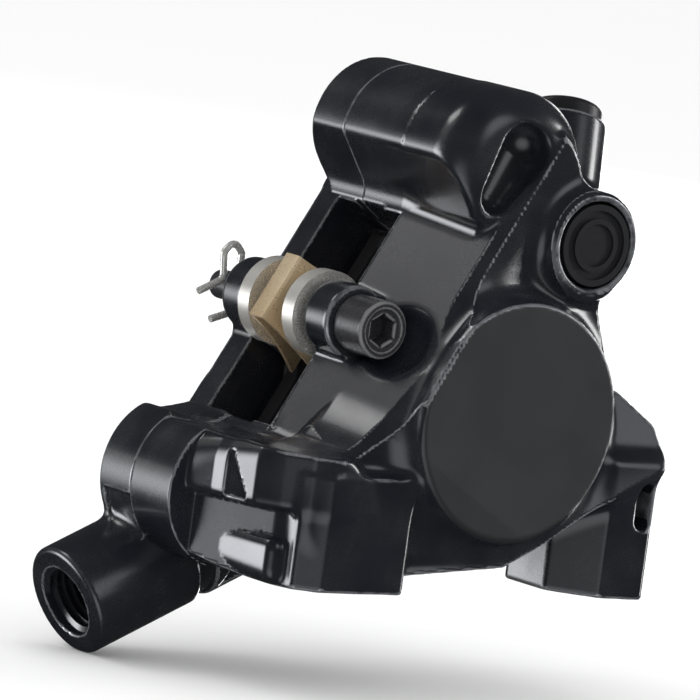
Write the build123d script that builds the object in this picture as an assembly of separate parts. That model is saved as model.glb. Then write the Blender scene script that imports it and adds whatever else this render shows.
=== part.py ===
from build123d import *
import os
from math import cos, hypot, radians, sin, sqrt

# Bicycle disc brake caliper, rear flat mount, two opposed pistons.
# Millimetres. Origin: midway between the two mount holes, on the mounting plane.
# +X runs rearward along the stay, +Y inboard to the wheel, +Z up from the stay.
# Places in the caliper plane are given as (u, w): u along the chord that joins the two
# bridges, w radially outward from the wheel, both measured from the piston axis.

# Flat mount
mount_spacing = 34.0
mount_tap_radius = 2.1
mount_hole_depth = 10.5
foot_half_width = 6.3
foot_corner_x = 11.8
rear_foot_end_x = 22.3
rear_foot_toe_y = -1.1
rear_foot_bend_x = 16.3
rear_foot_bend_y = -5.5
front_foot_end_x = 25.6
front_foot_bend_x = 22.9
front_foot_bend_y = -5.7
front_foot_nose_y = -3.6
front_foot_height = 12.4
rear_foot_height = 15.4
foot_corner_fillet = 0.9

# Slot in the rear foot for the retaining pin of the fixing bolt
pin_slot_x = 20.75
pin_slot_z = 10.6
pin_slot_width = 2.0
pin_slot_height = 5.3

# Caliper plane
piston_height = 19.9
chord_angle = 60.0
rotor_y = 15.55
parting_y = 17.05
window_half_gap = 5.85
rotor_edge_radius = 71.5
rotor_axis_reach = 60.0
rotor_slot_half_width = 1.95

# Outline of the halves
chord_w = 16.2
flank_foot_u = 15.6
flank_top_u = 19.4
drum_radius = 15.2
bridge_u = 22.7
bridge_w = 15.8
bridge_radius = 8.5
upper_arm_u = 22.2
upper_arm_w = 12.6
upper_arm_radius = 7.0
lower_arm_u = 20.6
lower_arm_w = 11.6
lower_arm_radius = 4.6
rim_radius = 16.8
rim_depth = 3.3

# Outboard half, outer side
crest_y = -4.0
crest_w = 13.0
crest_chamfer = 0.9
lower_crest_y = -5.0
upper_bridge_full_y = 6.1
lower_bridge_full_y = 10.8
facet_bend_u = 7.0
facet_sweep_radius = 13.5
face_y = -7.7
face_step = 0.35
face_radius = 12.9
face_rim_radius = 13.5
underside_start_z = 1.7
underside_break_x = 1.6
underside_break_z = 3.35
shoulder_corner_z = 15.4
shoulder_high_x = 20.9
shoulder_high_drop = 0.5
shoulder_top_x = 16.3
shoulder_top_rise = 2.7
shoulder_inboard_y = 3.0

# Dome beyond the upper bridge and the oval pocket between it and the crest
dome_u = 22.9
dome_w = 15.8
dome_radius = 8.2
dome_end_y = -3.4
dome_fillet = 5.6
oval_pocket_radius = 3.1
oval_pocket_low_u = 17.5
oval_pocket_high_u = 30.0
oval_pocket_w = 16.3
oval_pocket_y = -1.5

# Two stacked bulges beyond the lower bridge, with a groove between them
bulge_step = 0.3
bulge_root_x = -32.0
bulge_ridge_x = -30.0
bulge_ridge_y = 6.3
bulge_tip_x = -29.2
bulge_tip_y = 0.2
bulge_end_x = -26.6
bulge_end_y = -1.6
bulge_foot_x = -22.0
bulge_groove_low_z = 5.4
bulge_groove_high_z = 8.3
bulge_groove_depth = 2.3
lower_bulge_setback = 1.0
triangle_top_y = 4.9
triangle_top_z = 14.3
triangle_foot_z = 8.9
triangle_foot_low_y = 1.9
triangle_foot_high_y = 5.2
triangle_depth = 0.6

# Inboard half
inboard_end_y = 25.0
bridge_chamfer = 1.9
inboard_drum_radius = 13.4
inboard_drum_height = 6.0
inboard_drum_chamfer = 2.6

# Piston bores, pistons and seals
piston_radius = 11.0
bore_clearance = 0.05
outboard_piston_length = 9.2
inboard_piston_length = 7.3
piston_proud = 0.7
piston_cup_radius = 7.4
piston_cup_floor = 3.0
piston_edge_chamfer = 0.4
chamber_depth = 1.0
seal_clearance = 0.03
seal_height = 1.7
seal_width = 1.9
seal_setback = 3.0

# Fluid passages
passage_radius = 0.8
passage_rib_radius = 2.5
crossover_u = 17.3
crossover_w = 12.6
seal_ring_radius = 1.6
seal_ring_section = 0.6
seal_ring_squeeze = 0.05

# Hose port, an M8 thread in the inboard half
port_y = 21.6
port_face_x = -36.9
port_face_z = -6.65
port_fall_angle = 25.3
port_radius = 6.4
port_length = 22.0
port_tap_radius = 3.6
port_thread_depth = 12.0
port_mouth_radius = 4.3
port_mouth_depth = 1.2
port_rim_chamfer = 0.7
port_neck_at = 14.2
port_neck_width = 2.2
port_neck_depth = 0.45
port_relief = 0.4

# Body bolts, M6
bolt_radius = 3.0
bolt_clearance = 0.15
bolt_head_radius = 4.9
bolt_head_height = 5.0
bolt_head_sink = 2.6
bolt_thread_end_y = 8.5
bolt_socket_flats = 5.0
bolt_socket_depth = 3.0
bolt_head_chamfer = 0.5

# Pad axle and its ears
axle_w = 16.83
ear_radius = 4.1
outboard_ear_y = 5.2
axle_thread_radius = 2.5
axle_radius = 2.1
axle_ear_clearance = 0.1
axle_head_radius = 3.25
axle_head_face_y = 0.1
axle_head_chamfer = 0.35
axle_socket_flats = 3.0
axle_socket_depth = 2.6
axle_stub_radius = 1.65
axle_stub_length = 6.0
axle_end_chamfer = 0.3
head_pocket_radius = 4.9

# Split pin through the axle's stub
split_pin_reach = 2.6
split_wire_radius = 0.42
split_gap = 0.06
split_hole_clearance = 0.08
split_eye_radius = 1.25
split_eye_height = 4.1
split_leg_drop = 2.6
split_leg_fall = 1.0
split_leg_spread = 3.2
split_bend_radius = 0.9

# Pads
plate_thickness = 2.0
lining_thickness = 2.0
pad_half_length = 13.55
pad_top_w = 9.9
pad_bottom_w = -11.6
pad_round_radius = 15.6
pad_round_w = 1.5
pad_end_clearance = 0.45
pad_neck_half_width = 4.4
pad_ear_radius = 4.9
pad_neck_fillet = 1.8
pad_hole_clearance = 0.35
lining_inset = 1.1
lining_chamfer = 1.2

# Pad return spring
spring_sheet = 0.45
spring_web_w = 21.5
spring_web_half = 1.15
spring_half_length = 4.05
spring_leg_end_w = 11.2
spring_plate_gap = 0.12
spring_hole_clearance = 0.45

# Bleed valve screw in its boss, facing outboard
valve_x = 9.0
valve_rise = 19.8
valve_boss_radius = 5.9
valve_face_y = -5.5
valve_boss_root_y = 3.0
valve_rim_chamfer = 0.5
valve_recess_radius = 4.9
valve_recess_depth = 3.4
valve_thread_radius = 3.0
valve_thread_length = 5.0
valve_tip_radius = 1.3
valve_tip_length = 1.8
valve_head_radius = 3.9
valve_head_height = 1.6
valve_socket_flats = 3.0
valve_socket_depth = 2.4
valve_ring_y = 1.1
valve_fit_clearance = 0.05
valve_cap_radius = 4.6
valve_cap_skirt = 0.7
valve_cap_floor = 0.8
valve_cap_groove_outer = 3.9
valve_cap_groove_inner = 3.0
valve_cap_groove_depth = 0.35
valve_cap_dish_radius = 2.4
valve_cap_dish_depth = 0.3
valve_cap_travel_gap = 0.3

# Bleed nipple in its boss, leaning rearward and inboard
nipple_rim_x = 12.4
nipple_rim_y = 7.3
nipple_rim_rise = 31.8
nipple_lean_x_share = 0.257
nipple_lean_y_share = 0.354
nipple_boss_radius = 4.8
nipple_boss_length = 13.6
nipple_rim_chamfer = 0.4
nipple_recess_radius = 3.9
nipple_recess_depth = 4.4
nipple_thread_radius = 2.5
nipple_thread_length = 4.6
nipple_bore_radius = 0.9
nipple_hex_flats = 5.6
nipple_hex_height = 1.5
nipple_tip_radius = 1.7
nipple_tip_length = 2.3
nipple_cap_radius = 4.2
nipple_cap_proud = 1.8
nipple_cap_sink = 1.5
nipple_cap_dome = 0.6
nipple_cap_inner_radius = 2.6

# Cuts run this much past what they cut
overrun = 1.0

# Places that follow from the sizes above
window_outboard_y = rotor_y - window_half_gap
window_inboard_y = rotor_y + window_half_gap
window_half_length = pad_half_length + pad_end_clearance
bore_radius = piston_radius + bore_clearance
chord_x = cos(radians(chord_angle))
chord_z = sin(radians(chord_angle))
nipple_lean_z = sqrt(1 - nipple_lean_x_share**2 - nipple_lean_y_share**2)
valve_z = piston_height + valve_rise
nipple_rim_z = piston_height + nipple_rim_rise
shoulder_high_z = piston_height - shoulder_high_drop
shoulder_top_z = piston_height + shoulder_top_rise
inboard_drum_end_y = inboard_end_y + inboard_drum_height
axle_end_y = inboard_end_y + axle_stub_length
split_pin_y = inboard_end_y + split_pin_reach


def place_x(u, w):
    """X of a place in the caliper plane."""
    return u * chord_x - w * chord_z


def place_z(u, w):
    """Z of a place in the caliper plane."""
    return piston_height + u * chord_z + w * chord_x


def along_chord(x, z):
    """u of a place given by X and Z."""
    return x * chord_x + (z - piston_height) * chord_z


def outward(x, z):
    """w of a place given by X and Z."""
    return (z - piston_height) * chord_x - x * chord_z


def caliper_plane(y):
    """The plane at this Y, with u to its right and w up, that faces outboard."""
    return Plane(origin=(0, y, piston_height), x_dir=(chord_x, 0, chord_z), z_dir=(0, -1, 0))


def prism(outline, y_outboard, y_inboard):
    """An outline in (u, w) that runs from one Y to the other."""
    return extrude(caliper_plane(y_inboard) * outline, amount=y_inboard - y_outboard)


def rod(u, w, radius, y_outboard, y_inboard):
    """A round bar along Y."""
    return prism(Pos(u, w) * Circle(radius), y_outboard, y_inboard)


def tapered_rod(u, w, outboard_radius, inboard_radius, y_outboard, y_inboard):
    """A round bar along Y whose radius changes from end to end."""
    middle = (y_outboard + y_inboard) / 2
    cone = Cone(inboard_radius, outboard_radius, y_inboard - y_outboard)
    return caliper_plane(middle) * Pos(u, w) * cone


def side_prism(points, y_outboard, y_inboard):
    """A polygon of (X, Z) points that runs from one Y to the other."""
    outline = Polygon(*[(along_chord(x, z), outward(x, z)) for x, z in points], align=None)
    return prism(outline, y_outboard, y_inboard)


def hull(circles):
    """The taut outline round circles given as (u, w, radius)."""
    edges = []
    for u, w, radius in circles:
        edges += (Pos(u, w) * Circle(radius)).edges()
    return make_hull(edges)


def hexagon(flats):
    """A hexagon by its width across flats."""
    return RegularPolygon(flats / 2, 6, major_radius=False)


def span_cylinder(start, end, radius):
    """A round bar from one point to another."""
    run = Vector(*end) - Vector(*start)
    base = Plane(origin=start, z_dir=run)
    return extrude(base * Circle(radius), amount=run.length)


def joined(pieces):
    """One body from pieces that overlap."""
    body = pieces[0]
    for piece in pieces[1:]:
        body = body + piece
    return body


def between_bridges():
    """The space outside the chord, between the flanks of the two bridges."""
    top_w = bridge_w + 2 * bridge_radius
    slope = (flank_top_u - flank_foot_u) / (bridge_w + bridge_radius - chord_w)
    top_u = flank_foot_u + slope * (top_w - chord_w)
    return Polygon(
        (-flank_foot_u, chord_w),
        (flank_foot_u, chord_w),
        (top_u, top_w),
        (-top_u, top_w),
        align=None,
    )


def half_outline(edge_radius, upper_end, lower_end):
    """The drum and two arms of one half, cut back to the chord between the bridges."""
    return hull([(0, 0, edge_radius), upper_end, lower_end]) - between_bridges()


def rim_outline():
    """The outline of both halves where they meet."""
    upper_end = (bridge_u, bridge_w, bridge_radius)
    lower_end = (-bridge_u, bridge_w, bridge_radius)
    return half_outline(rim_radius, upper_end, lower_end)


def bridge_outline(side):
    """One bridge and the block that joins it to the end of the window."""
    return bridge_hull(side, 0) - between_bridges()


def bridge_hull(side, margin):
    """The taut outline round one bridge and its block, with a margin."""
    return hull(
        [
            (side * bridge_u, bridge_w, bridge_radius + margin),
            (side * (window_half_length + bolt_radius), chord_w - bolt_radius, bolt_radius + margin),
        ]
    )


def rotor_sweep(y_outboard, y_inboard):
    """The disc of space that the rotor and its clearance fill."""
    return rod(0, -rotor_axis_reach, rotor_edge_radius, y_outboard, y_inboard)


def window_pocket(y_outboard, y_inboard):
    """The pocket for the pads in one half, open outward."""
    top_w = bridge_w + 2 * bridge_radius
    mouth = Pos(0, (pad_round_w + top_w) / 2) * Rectangle(2 * window_half_length, top_w - pad_round_w)
    return prism(mouth + pad_outline(-pad_end_clearance), y_outboard, y_inboard)


def front_foot():
    """The foot by the hose port, a rounded nose in plan."""
    plan = Polygon(
        (-foot_corner_x, foot_half_width),
        (-foot_corner_x, -foot_half_width),
        (-front_foot_bend_x, front_foot_bend_y),
        (-front_foot_end_x, front_foot_nose_y),
        (-front_foot_end_x, foot_half_width),
        align=None,
    )
    foot = extrude(plan, amount=front_foot_height, dir=(0, 0, 1))
    corners = foot.edges().filter_by(Axis.Z).sort_by(Axis.X)[0:3]
    return fillet(corners, foot_corner_fillet)


def rear_foot():
    """The foot under the shoulder, hollowed on its outboard corner."""
    plan = Polygon(
        (foot_corner_x, foot_half_width),
        (foot_corner_x, rear_foot_toe_y),
        (rear_foot_bend_x, rear_foot_bend_y),
        (rear_foot_end_x, -foot_half_width),
        (rear_foot_end_x, foot_half_width),
        align=None,
    )
    foot = extrude(plan, amount=rear_foot_height, dir=(0, 0, 1))
    corners = foot.edges().filter_by(Axis.Z).sort_by(Axis.X)[0:2]
    return fillet(corners, foot_corner_fillet)


def shoulder():
    """The overhanging edge below the face and the shoulder above the rear foot."""
    return side_prism(
        [
            (-foot_corner_x, underside_start_z),
            (underside_break_x, underside_break_z),
            (rear_foot_end_x, shoulder_corner_z),
            (shoulder_high_x, shoulder_high_z),
            (shoulder_top_x, shoulder_top_z),
            (0, piston_height),
            (-foot_corner_x, front_foot_height),
        ],
        -foot_half_width,
        shoulder_inboard_y,
    )


def valve_plane(y):
    """A plane across the valve screw's axis that faces outboard."""
    return Plane(origin=(valve_x, y, valve_z), x_dir=(1, 0, 0), z_dir=(0, -1, 0))


def valve_rod(radius, y_outboard, y_inboard):
    """A round bar on the valve screw's axis."""
    return extrude(valve_plane(y_inboard) * Circle(radius), amount=y_inboard - y_outboard)


def nipple_plane(depth):
    """A plane across the nipple's axis, this far below its boss's rim."""
    lean = Vector(nipple_lean_x_share, nipple_lean_y_share, nipple_lean_z)
    rim = Vector(nipple_rim_x, nipple_rim_y, nipple_rim_z)
    return Plane(origin=rim - lean * depth, z_dir=lean)


def nipple_rod(radius, depth_bottom, depth_top):
    """A round bar on the nipple's axis, between two depths below the rim."""
    return extrude(nipple_plane(depth_bottom) * Circle(radius), amount=depth_bottom - depth_top)


def valve_boss():
    """The round boss of the bleed valve screw."""
    boss = valve_rod(valve_boss_radius, valve_face_y, valve_boss_root_y)
    rim = boss.edges().group_by(Axis.Y)[0]
    return chamfer(rim, valve_rim_chamfer)


def nipple_boss():
    """The leaning boss of the bleed nipple."""
    boss = nipple_rod(nipple_boss_radius, nipple_boss_length, 0)
    rim = boss.edges().filter_by(GeomType.CIRCLE).sort_by(Axis.Z)[-1]
    return chamfer(rim, nipple_rim_chamfer)


def valve_thread_y():
    """Y where the valve screw's thread ends."""
    return valve_face_y + valve_recess_depth + valve_thread_length


def bleed_bores():
    """Recesses, threads and passages of the valve screw and the nipple."""
    recess_y = valve_face_y + valve_recess_depth
    seat_y = valve_thread_y() + valve_tip_length
    nipple_thread_depth = nipple_recess_depth + nipple_thread_length
    return [
        valve_rod(valve_recess_radius, valve_face_y - overrun, recess_y),
        valve_rod(valve_thread_radius + valve_fit_clearance, recess_y - overrun, valve_thread_y()),
        valve_rod(valve_tip_radius + valve_fit_clearance, recess_y, seat_y),
        nipple_rod(nipple_recess_radius, nipple_recess_depth, -overrun),
        nipple_rod(nipple_thread_radius, nipple_thread_depth, 0),
        span_cylinder(
            tuple(nipple_plane(nipple_thread_depth - overrun).origin),
            (valve_x, valve_thread_y() - passage_radius, valve_z),
            passage_radius,
        ),
        span_cylinder(
            (valve_x, seat_y - passage_radius, valve_z), (0, chamber_y(-1), piston_height), passage_radius
        ),
    ]


def piston_bore(y_mouth, side):
    """A piston bore that opens at y_mouth, its seal groove and chamber."""
    length = outboard_piston_length if side < 0 else inboard_piston_length
    floor_y = y_mouth + side * (length - piston_proud + chamber_depth)
    low, high = sorted((y_mouth - side * overrun, floor_y))
    groove_low, groove_high = seal_span(y_mouth, side)
    groove_radius = piston_radius + seal_clearance + seal_height
    return rod(0, 0, bore_radius, low, high) + rod(0, 0, groove_radius, groove_low, groove_high)


def seal_span(y_mouth, side):
    """Y of the two faces of a piston seal."""
    near = y_mouth + side * seal_setback
    far = near + side * seal_width
    return min(near, far), max(near, far)


def chamber_y(side):
    """Y of the middle of the fluid chamber behind a piston."""
    if side < 0:
        return window_outboard_y + piston_proud - outboard_piston_length - chamber_depth / 2
    return window_inboard_y - piston_proud + inboard_piston_length + chamber_depth / 2


def crossover_turn_y(side):
    """Y where the crossover drilling turns towards a chamber."""
    if side < 0:
        return chamber_y(side)
    return (window_inboard_y + inboard_end_y) / 2


def crossover_branch(side, radius):
    """The stretch from the crossover drilling to a chamber, as a bar of this radius."""
    inner_share = (bore_radius - passage_radius) / hypot(crossover_u, crossover_w)
    turn = (place_x(crossover_u, crossover_w), crossover_turn_y(side), place_z(crossover_u, crossover_w))
    inner_u = crossover_u * inner_share
    inner_w = crossover_w * inner_share
    chamber = (place_x(inner_u, inner_w), chamber_y(side), place_z(inner_u, inner_w))
    return span_cylinder(turn, chamber, radius)


def crossover_passage(side):
    """The drillings of one half that join the two chambers through the upper bridge."""
    low, high = sorted((crossover_turn_y(side), parting_y - side * overrun))
    return rod(crossover_u, crossover_w, passage_radius, low, high) + crossover_branch(side, passage_radius)


def port_branch(radius):
    """The stretch from the hose port's thread to the inboard chamber, as a bar of this radius."""
    start = port_plane(port_thread_depth - overrun).origin
    end = (0, chamber_y(1), piston_height - bore_radius + passage_radius)
    return span_cylinder(tuple(start), end, radius)


def crossover_gland():
    """The shallow recess in the parting face for the crossover seal."""
    depth = 2 * (seal_ring_section - seal_ring_squeeze)
    radius = seal_ring_radius + seal_ring_section
    return rod(crossover_u, crossover_w, radius, parting_y - depth, parting_y + overrun)


def facet_space(low_u, high_u):
    """The space outside the sloping facet, which sweeps up towards the lower bridge."""
    wall_u = facet_bend_u + facet_sweep_radius
    top_w = bridge_w + 2 * bridge_radius
    slope = (chord_w - crest_w) / (window_outboard_y - crest_y)
    start_y = face_y - overrun
    start_w = crest_w - slope * (crest_y - start_y)
    far_u = bridge_u + 2 * bridge_radius
    profile = Polygon((-wall_u, start_w), (far_u, start_w), (far_u, top_w), (-wall_u, top_w), align=None)
    sweep_corner = profile.vertices().sort_by(Axis.X)[0:2].sort_by(Axis.Y)[0]
    profile = fillet(sweep_corner, facet_sweep_radius)
    run = window_outboard_y - start_y
    rise = slope * run
    way = Vector(place_x(0, rise), run, place_z(0, rise) - piston_height)
    space = extrude(caliper_plane(start_y) * profile, amount=way.length, dir=way.normalized())
    middle = (low_u + high_u) / 2
    limits = prism(Pos(middle, 0) * Rectangle(high_u - low_u, 4 * top_w), start_y, window_outboard_y)
    return space & limits


def crest_bevel():
    """The space outside a narrow bevel along the crest, above where the facet sweeps up."""
    slope = (chord_w - crest_w) / (window_outboard_y - crest_y)
    start_y = crest_y + crest_chamfer
    start_w = crest_w + slope * crest_chamfer
    end_y = crest_y - overrun
    side_plane = Plane(origin=(0, 0, piston_height), x_dir=(0, 1, 0), z_dir=(chord_x, 0, chord_z))
    outline = Polygon(
        (start_y, start_w), (end_y, start_w - (start_y - end_y)), (end_y, start_w + overrun), align=None
    )
    far_u = bridge_u + 2 * bridge_radius
    bevel = extrude(side_plane * outline, amount=far_u, both=True)
    limits = prism(Pos(far_u - facet_bend_u, 0) * Rectangle(2 * far_u, 4 * far_u), end_y, start_y)
    return bevel & limits


def upper_dome():
    """The round nose that carries the upper bridge's outline on towards the crest."""
    nose = rod(dome_u, dome_w, dome_radius, dome_end_y, upper_bridge_full_y)
    end = nose.edges().group_by(Axis.Y)[0]
    return fillet(end, dome_fillet)


def oval_pocket():
    """The oval hollow between the dome and the crest, round at both ends."""
    low_u = oval_pocket_low_u + oval_pocket_radius
    high_u = oval_pocket_high_u - oval_pocket_radius
    ends = [(place_x(u, oval_pocket_w), oval_pocket_y, place_z(u, oval_pocket_w)) for u in (low_u, high_u)]
    balls = [Pos(*end) * Sphere(oval_pocket_radius) for end in ends]
    return span_cylinder(*ends, oval_pocket_radius) + balls[0] + balls[1]


def bulge_trim(setback, z_low, z_high):
    """The space in front of the bulges' slanting faces, set back by this much."""
    far_x = place_x(-bridge_u, bridge_w) - 2 * bridge_radius
    plan = Polygon(
        (bulge_root_x + setback, lower_bridge_full_y),
        (far_x, lower_bridge_full_y),
        (far_x, lower_crest_y - overrun),
        (bulge_foot_x, lower_crest_y - overrun),
        (bulge_foot_x, lower_crest_y),
        (bulge_end_x, bulge_end_y),
        (bulge_tip_x + setback, bulge_tip_y),
        (bulge_ridge_x + setback, bulge_ridge_y),
        align=None,
    )
    return extrude(Pos(0, 0, z_low) * plan, amount=z_high - z_low, dir=(0, 0, 1))


def bulge_triangle():
    """The shallow triangular pocket in the upper bulge."""
    far_x = place_x(-bridge_u, bridge_w) - 2 * bridge_radius
    side_plane = Plane(origin=(far_x, 0, 0), x_dir=(0, 1, 0), z_dir=(1, 0, 0))
    outline = Polygon(
        (triangle_top_y, triangle_top_z),
        (triangle_foot_low_y, triangle_foot_z),
        (triangle_foot_high_y, triangle_foot_z),
        align=None,
    )
    cut = extrude(side_plane * outline, amount=2 * bridge_radius)
    return cut & bulge_trim(triangle_depth, 0, piston_height)


def lower_bulges():
    """The two stacked bulges that carry the lower bridge on towards the front foot."""
    bulge = rod(-bridge_u, bridge_w, bridge_radius - bulge_step, lower_crest_y, lower_bridge_full_y)
    bulge = bulge - bulge_trim(0, -piston_height, piston_height)
    bulge = bulge - bulge_trim(bulge_groove_depth, bulge_groove_low_z, bulge_groove_high_z)
    bulge = bulge - bulge_trim(lower_bulge_setback, -piston_height, bulge_groove_low_z)
    return bulge - bulge_triangle()


def outboard_body():
    """The outboard half: feet, face, bridges, bosses and ear in one forging."""
    upper_end = (upper_arm_u, upper_arm_w, upper_arm_radius)
    lower_end = (-lower_arm_u, lower_arm_w, lower_arm_radius)
    arms = prism(half_outline(drum_radius, upper_end, lower_end), crest_y, window_outboard_y)
    far_u = bridge_u + 2 * bridge_radius
    pieces = [
        arms - facet_space(-far_u, far_u) - crest_bevel(),
        prism(rim_outline(), window_outboard_y - overrun, window_outboard_y + rim_depth),
        upper_dome() - prism(between_bridges(), dome_end_y - overrun, upper_bridge_full_y + overrun),
        lower_bulges() - prism(between_bridges(), lower_crest_y - overrun, lower_bridge_full_y + overrun),
    ]
    for side, full_y in ((1, upper_bridge_full_y), (-1, lower_bridge_full_y)):
        pieces.append(prism(bridge_outline(side), window_outboard_y, parting_y))
        bridge = rod(side * bridge_u, bridge_w, bridge_radius, full_y, parting_y)
        pieces.append(bridge - prism(between_bridges(), full_y - overrun, parting_y + overrun))
    pieces += [
        tapered_rod(0, 0, face_rim_radius, drum_radius, face_y + face_step, crest_y),
        rod(0, 0, face_radius, face_y, crest_y),
        shoulder(),
        front_foot(),
        rear_foot(),
        valve_boss(),
        nipple_boss(),
        rod(0, axle_w, ear_radius, outboard_ear_y, window_outboard_y),
    ]
    body = joined(pieces)
    facet_cut = facet_space(-flank_foot_u, flank_foot_u)
    body = body - (facet_cut - rod(0, axle_w, ear_radius, outboard_ear_y, window_outboard_y))

    cuts = [
        window_pocket(window_outboard_y, parting_y + overrun),
        rotor_sweep(rotor_y - rotor_slot_half_width, parting_y + overrun),
        piston_bore(window_outboard_y, -1),
        rod(0, axle_w, axle_thread_radius, outboard_ear_y - overrun, window_outboard_y + overrun),
        rod(0, axle_w, head_pocket_radius, crest_y - overrun, outboard_ear_y),
        oval_pocket(),
        crossover_gland(),
        crossover_passage(-1),
    ]
    for side in (-1, 1):
        cuts.append(rod(side * bridge_u, bridge_w, bolt_radius, bolt_thread_end_y, parting_y + overrun))
        foot_hole = Pos(side * mount_spacing / 2, 0, mount_hole_depth / 2 - overrun / 2)
        cuts.append(foot_hole * Cylinder(mount_tap_radius, mount_hole_depth + overrun))
    slot_plane = Plane(origin=(pin_slot_x, 0, pin_slot_z), x_dir=(0, 0, 1), z_dir=(0, -1, 0))
    slot = extrude(
        slot_plane * SlotOverall(pin_slot_height, pin_slot_width),
        amount=foot_half_width + overrun,
        both=True,
    )
    for cut in cuts + bleed_bores() + [slot]:
        body = body - cut
    return body


def hose_axis():
    """The direction from the hose port's face into the body."""
    return Vector(cos(radians(port_fall_angle)), 0, sin(radians(port_fall_angle)))


def port_plane(depth):
    """A plane across the hose port, this deep behind its face, that faces into the body."""
    face = Vector(port_face_x, port_y, port_face_z)
    return Plane(origin=face + hose_axis() * depth, z_dir=hose_axis())


def port_rod(radius, depth_start, depth_end):
    """A round bar on the hose port's axis."""
    return extrude(port_plane(depth_start) * Circle(radius), amount=depth_end - depth_start)


def hose_port():
    """The round barrel of the hose port with its shallow neck."""
    barrel = port_rod(port_radius, 0, port_length)
    rim = barrel.edges().filter_by(GeomType.CIRCLE).sort_by(Axis.X)[0]
    barrel = chamfer(rim, port_rim_chamfer)
    neck = port_rod(port_radius + overrun, port_neck_at, port_neck_at + port_neck_width)
    neck = neck - port_rod(port_radius - port_neck_depth, port_neck_at, port_neck_at + port_neck_width)
    return barrel - neck


def port_bores():
    """The hose port's mouth, thread and the drilling on to the chamber."""
    mouth = port_plane(port_mouth_depth / 2) * Cone(
        port_mouth_radius, port_tap_radius, port_mouth_depth
    )
    return [mouth, port_rod(port_tap_radius, 0, port_thread_depth), port_branch(passage_radius)]


def inboard_body():
    """The inboard half: bridges, drum, ear and hose port."""
    outline = rim_outline()
    plate = prism(outline, window_inboard_y, inboard_end_y)
    outer_edges = plate.edges().group_by(Axis.Y)[-1]
    plate = chamfer(outer_edges, bridge_chamfer)
    drum = rod(0, 0, inboard_drum_radius, window_inboard_y, inboard_drum_end_y)
    drum = chamfer(drum.edges().group_by(Axis.Y)[-1], inboard_drum_chamfer)
    pieces = [
        plate,
        drum,
        prism(outline, window_inboard_y - rim_depth, window_inboard_y + overrun),
        rod(0, axle_w, ear_radius, window_inboard_y, inboard_end_y),
    ]
    for side in (-1, 1):
        pieces.append(prism(bridge_outline(side), parting_y, window_inboard_y))
        bridge = rod(side * bridge_u, bridge_w, bridge_radius, parting_y, window_inboard_y)
        pieces.append(bridge - prism(between_bridges(), parting_y - overrun, window_inboard_y + overrun))
    outboard_bridge = prism(bridge_hull(-1, port_relief), parting_y - port_radius, parting_y)
    pieces.append(hose_port() - outboard_bridge)
    ribs = crossover_branch(1, passage_rib_radius) + port_branch(passage_rib_radius)
    pieces.append(ribs - prism(Circle(drum_radius + bridge_u), parting_y - port_radius, window_inboard_y))
    body = joined(pieces)

    cuts = [
        window_pocket(parting_y - overrun, window_inboard_y),
        rotor_sweep(rotor_y - rotor_slot_half_width, rotor_y + rotor_slot_half_width),
        piston_bore(window_inboard_y, 1),
        rod(0, axle_w, axle_radius + axle_ear_clearance, window_inboard_y - overrun, inboard_end_y + overrun),
    ]
    for side in (-1, 1):
        hole = bolt_radius + bolt_clearance
        sink = bolt_head_radius + bolt_clearance
        sink_y = inboard_end_y - bolt_head_sink
        cuts.append(rod(side * bridge_u, bridge_w, hole, parting_y - overrun, inboard_end_y))
        cuts.append(rod(side * bridge_u, bridge_w, sink, sink_y, inboard_drum_end_y))
    for cut in cuts + [crossover_passage(1)] + port_bores():
        body = body - cut
    return body


def body_bolts():
    """The two cap screws that clamp the halves together."""
    bolts = []
    seat_y = inboard_end_y - bolt_head_sink
    for side in (-1, 1):
        u = side * bridge_u
        shank = rod(u, bridge_w, bolt_radius, bolt_thread_end_y + bolt_clearance, seat_y)
        head = rod(u, bridge_w, bolt_head_radius, seat_y, seat_y + bolt_head_height)
        head = chamfer(head.edges().group_by(Axis.Y)[-1], bolt_head_chamfer)
        socket_y = seat_y + bolt_head_height
        socket = prism(
            Pos(u, bridge_w) * hexagon(bolt_socket_flats), socket_y - bolt_socket_depth, socket_y + overrun
        )
        bolts.append(shank + head - socket)
    return Compound(children=bolts)


def seal_ring(centre, axis, ring_radius, section_radius):
    """An O-ring."""
    return Plane(origin=centre, z_dir=axis) * Torus(ring_radius, section_radius)


def crossover_seal():
    """The O-ring between the halves round the crossover passage."""
    middle = parting_y - (seal_ring_section - seal_ring_squeeze)
    ring = seal_ring(
        (place_x(crossover_u, crossover_w), middle, place_z(crossover_u, crossover_w)),
        (0, 1, 0),
        seal_ring_radius - seal_ring_squeeze,
        seal_ring_section - seal_ring_squeeze,
    )
    return ring


def piston(y_face, side, length):
    """A cup piston whose open end presses the pad."""
    far = y_face + side * length
    low, high = min(y_face, far), max(y_face, far)
    cup_end = far - side * piston_cup_floor
    blank = rod(0, 0, piston_radius, low, high)
    ends = blank.edges().filter_by(GeomType.CIRCLE)
    blank = chamfer(ends, piston_edge_chamfer)
    cup_low, cup_high = sorted((y_face - side * overrun, cup_end))
    return blank - rod(0, 0, piston_cup_radius, cup_low, cup_high)


def piston_seal(y_mouth, side):
    """A square section ring round a piston."""
    low, high = seal_span(y_mouth, side)
    inner = piston_radius + seal_clearance
    ring = Circle(inner + seal_height) - Circle(inner)
    return prism(ring, low, high)


def pad_outline(inset):
    """The pad's backing plate in (u, w), drawn in by an inset for the lining."""
    top = pad_top_w - inset
    bottom = pad_bottom_w + inset
    block = Pos(0, (top + bottom) / 2) * Rectangle(2 * (pad_half_length - inset), top - bottom)
    return block & (Pos(0, pad_round_w) * Circle(pad_round_radius - inset))


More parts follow.
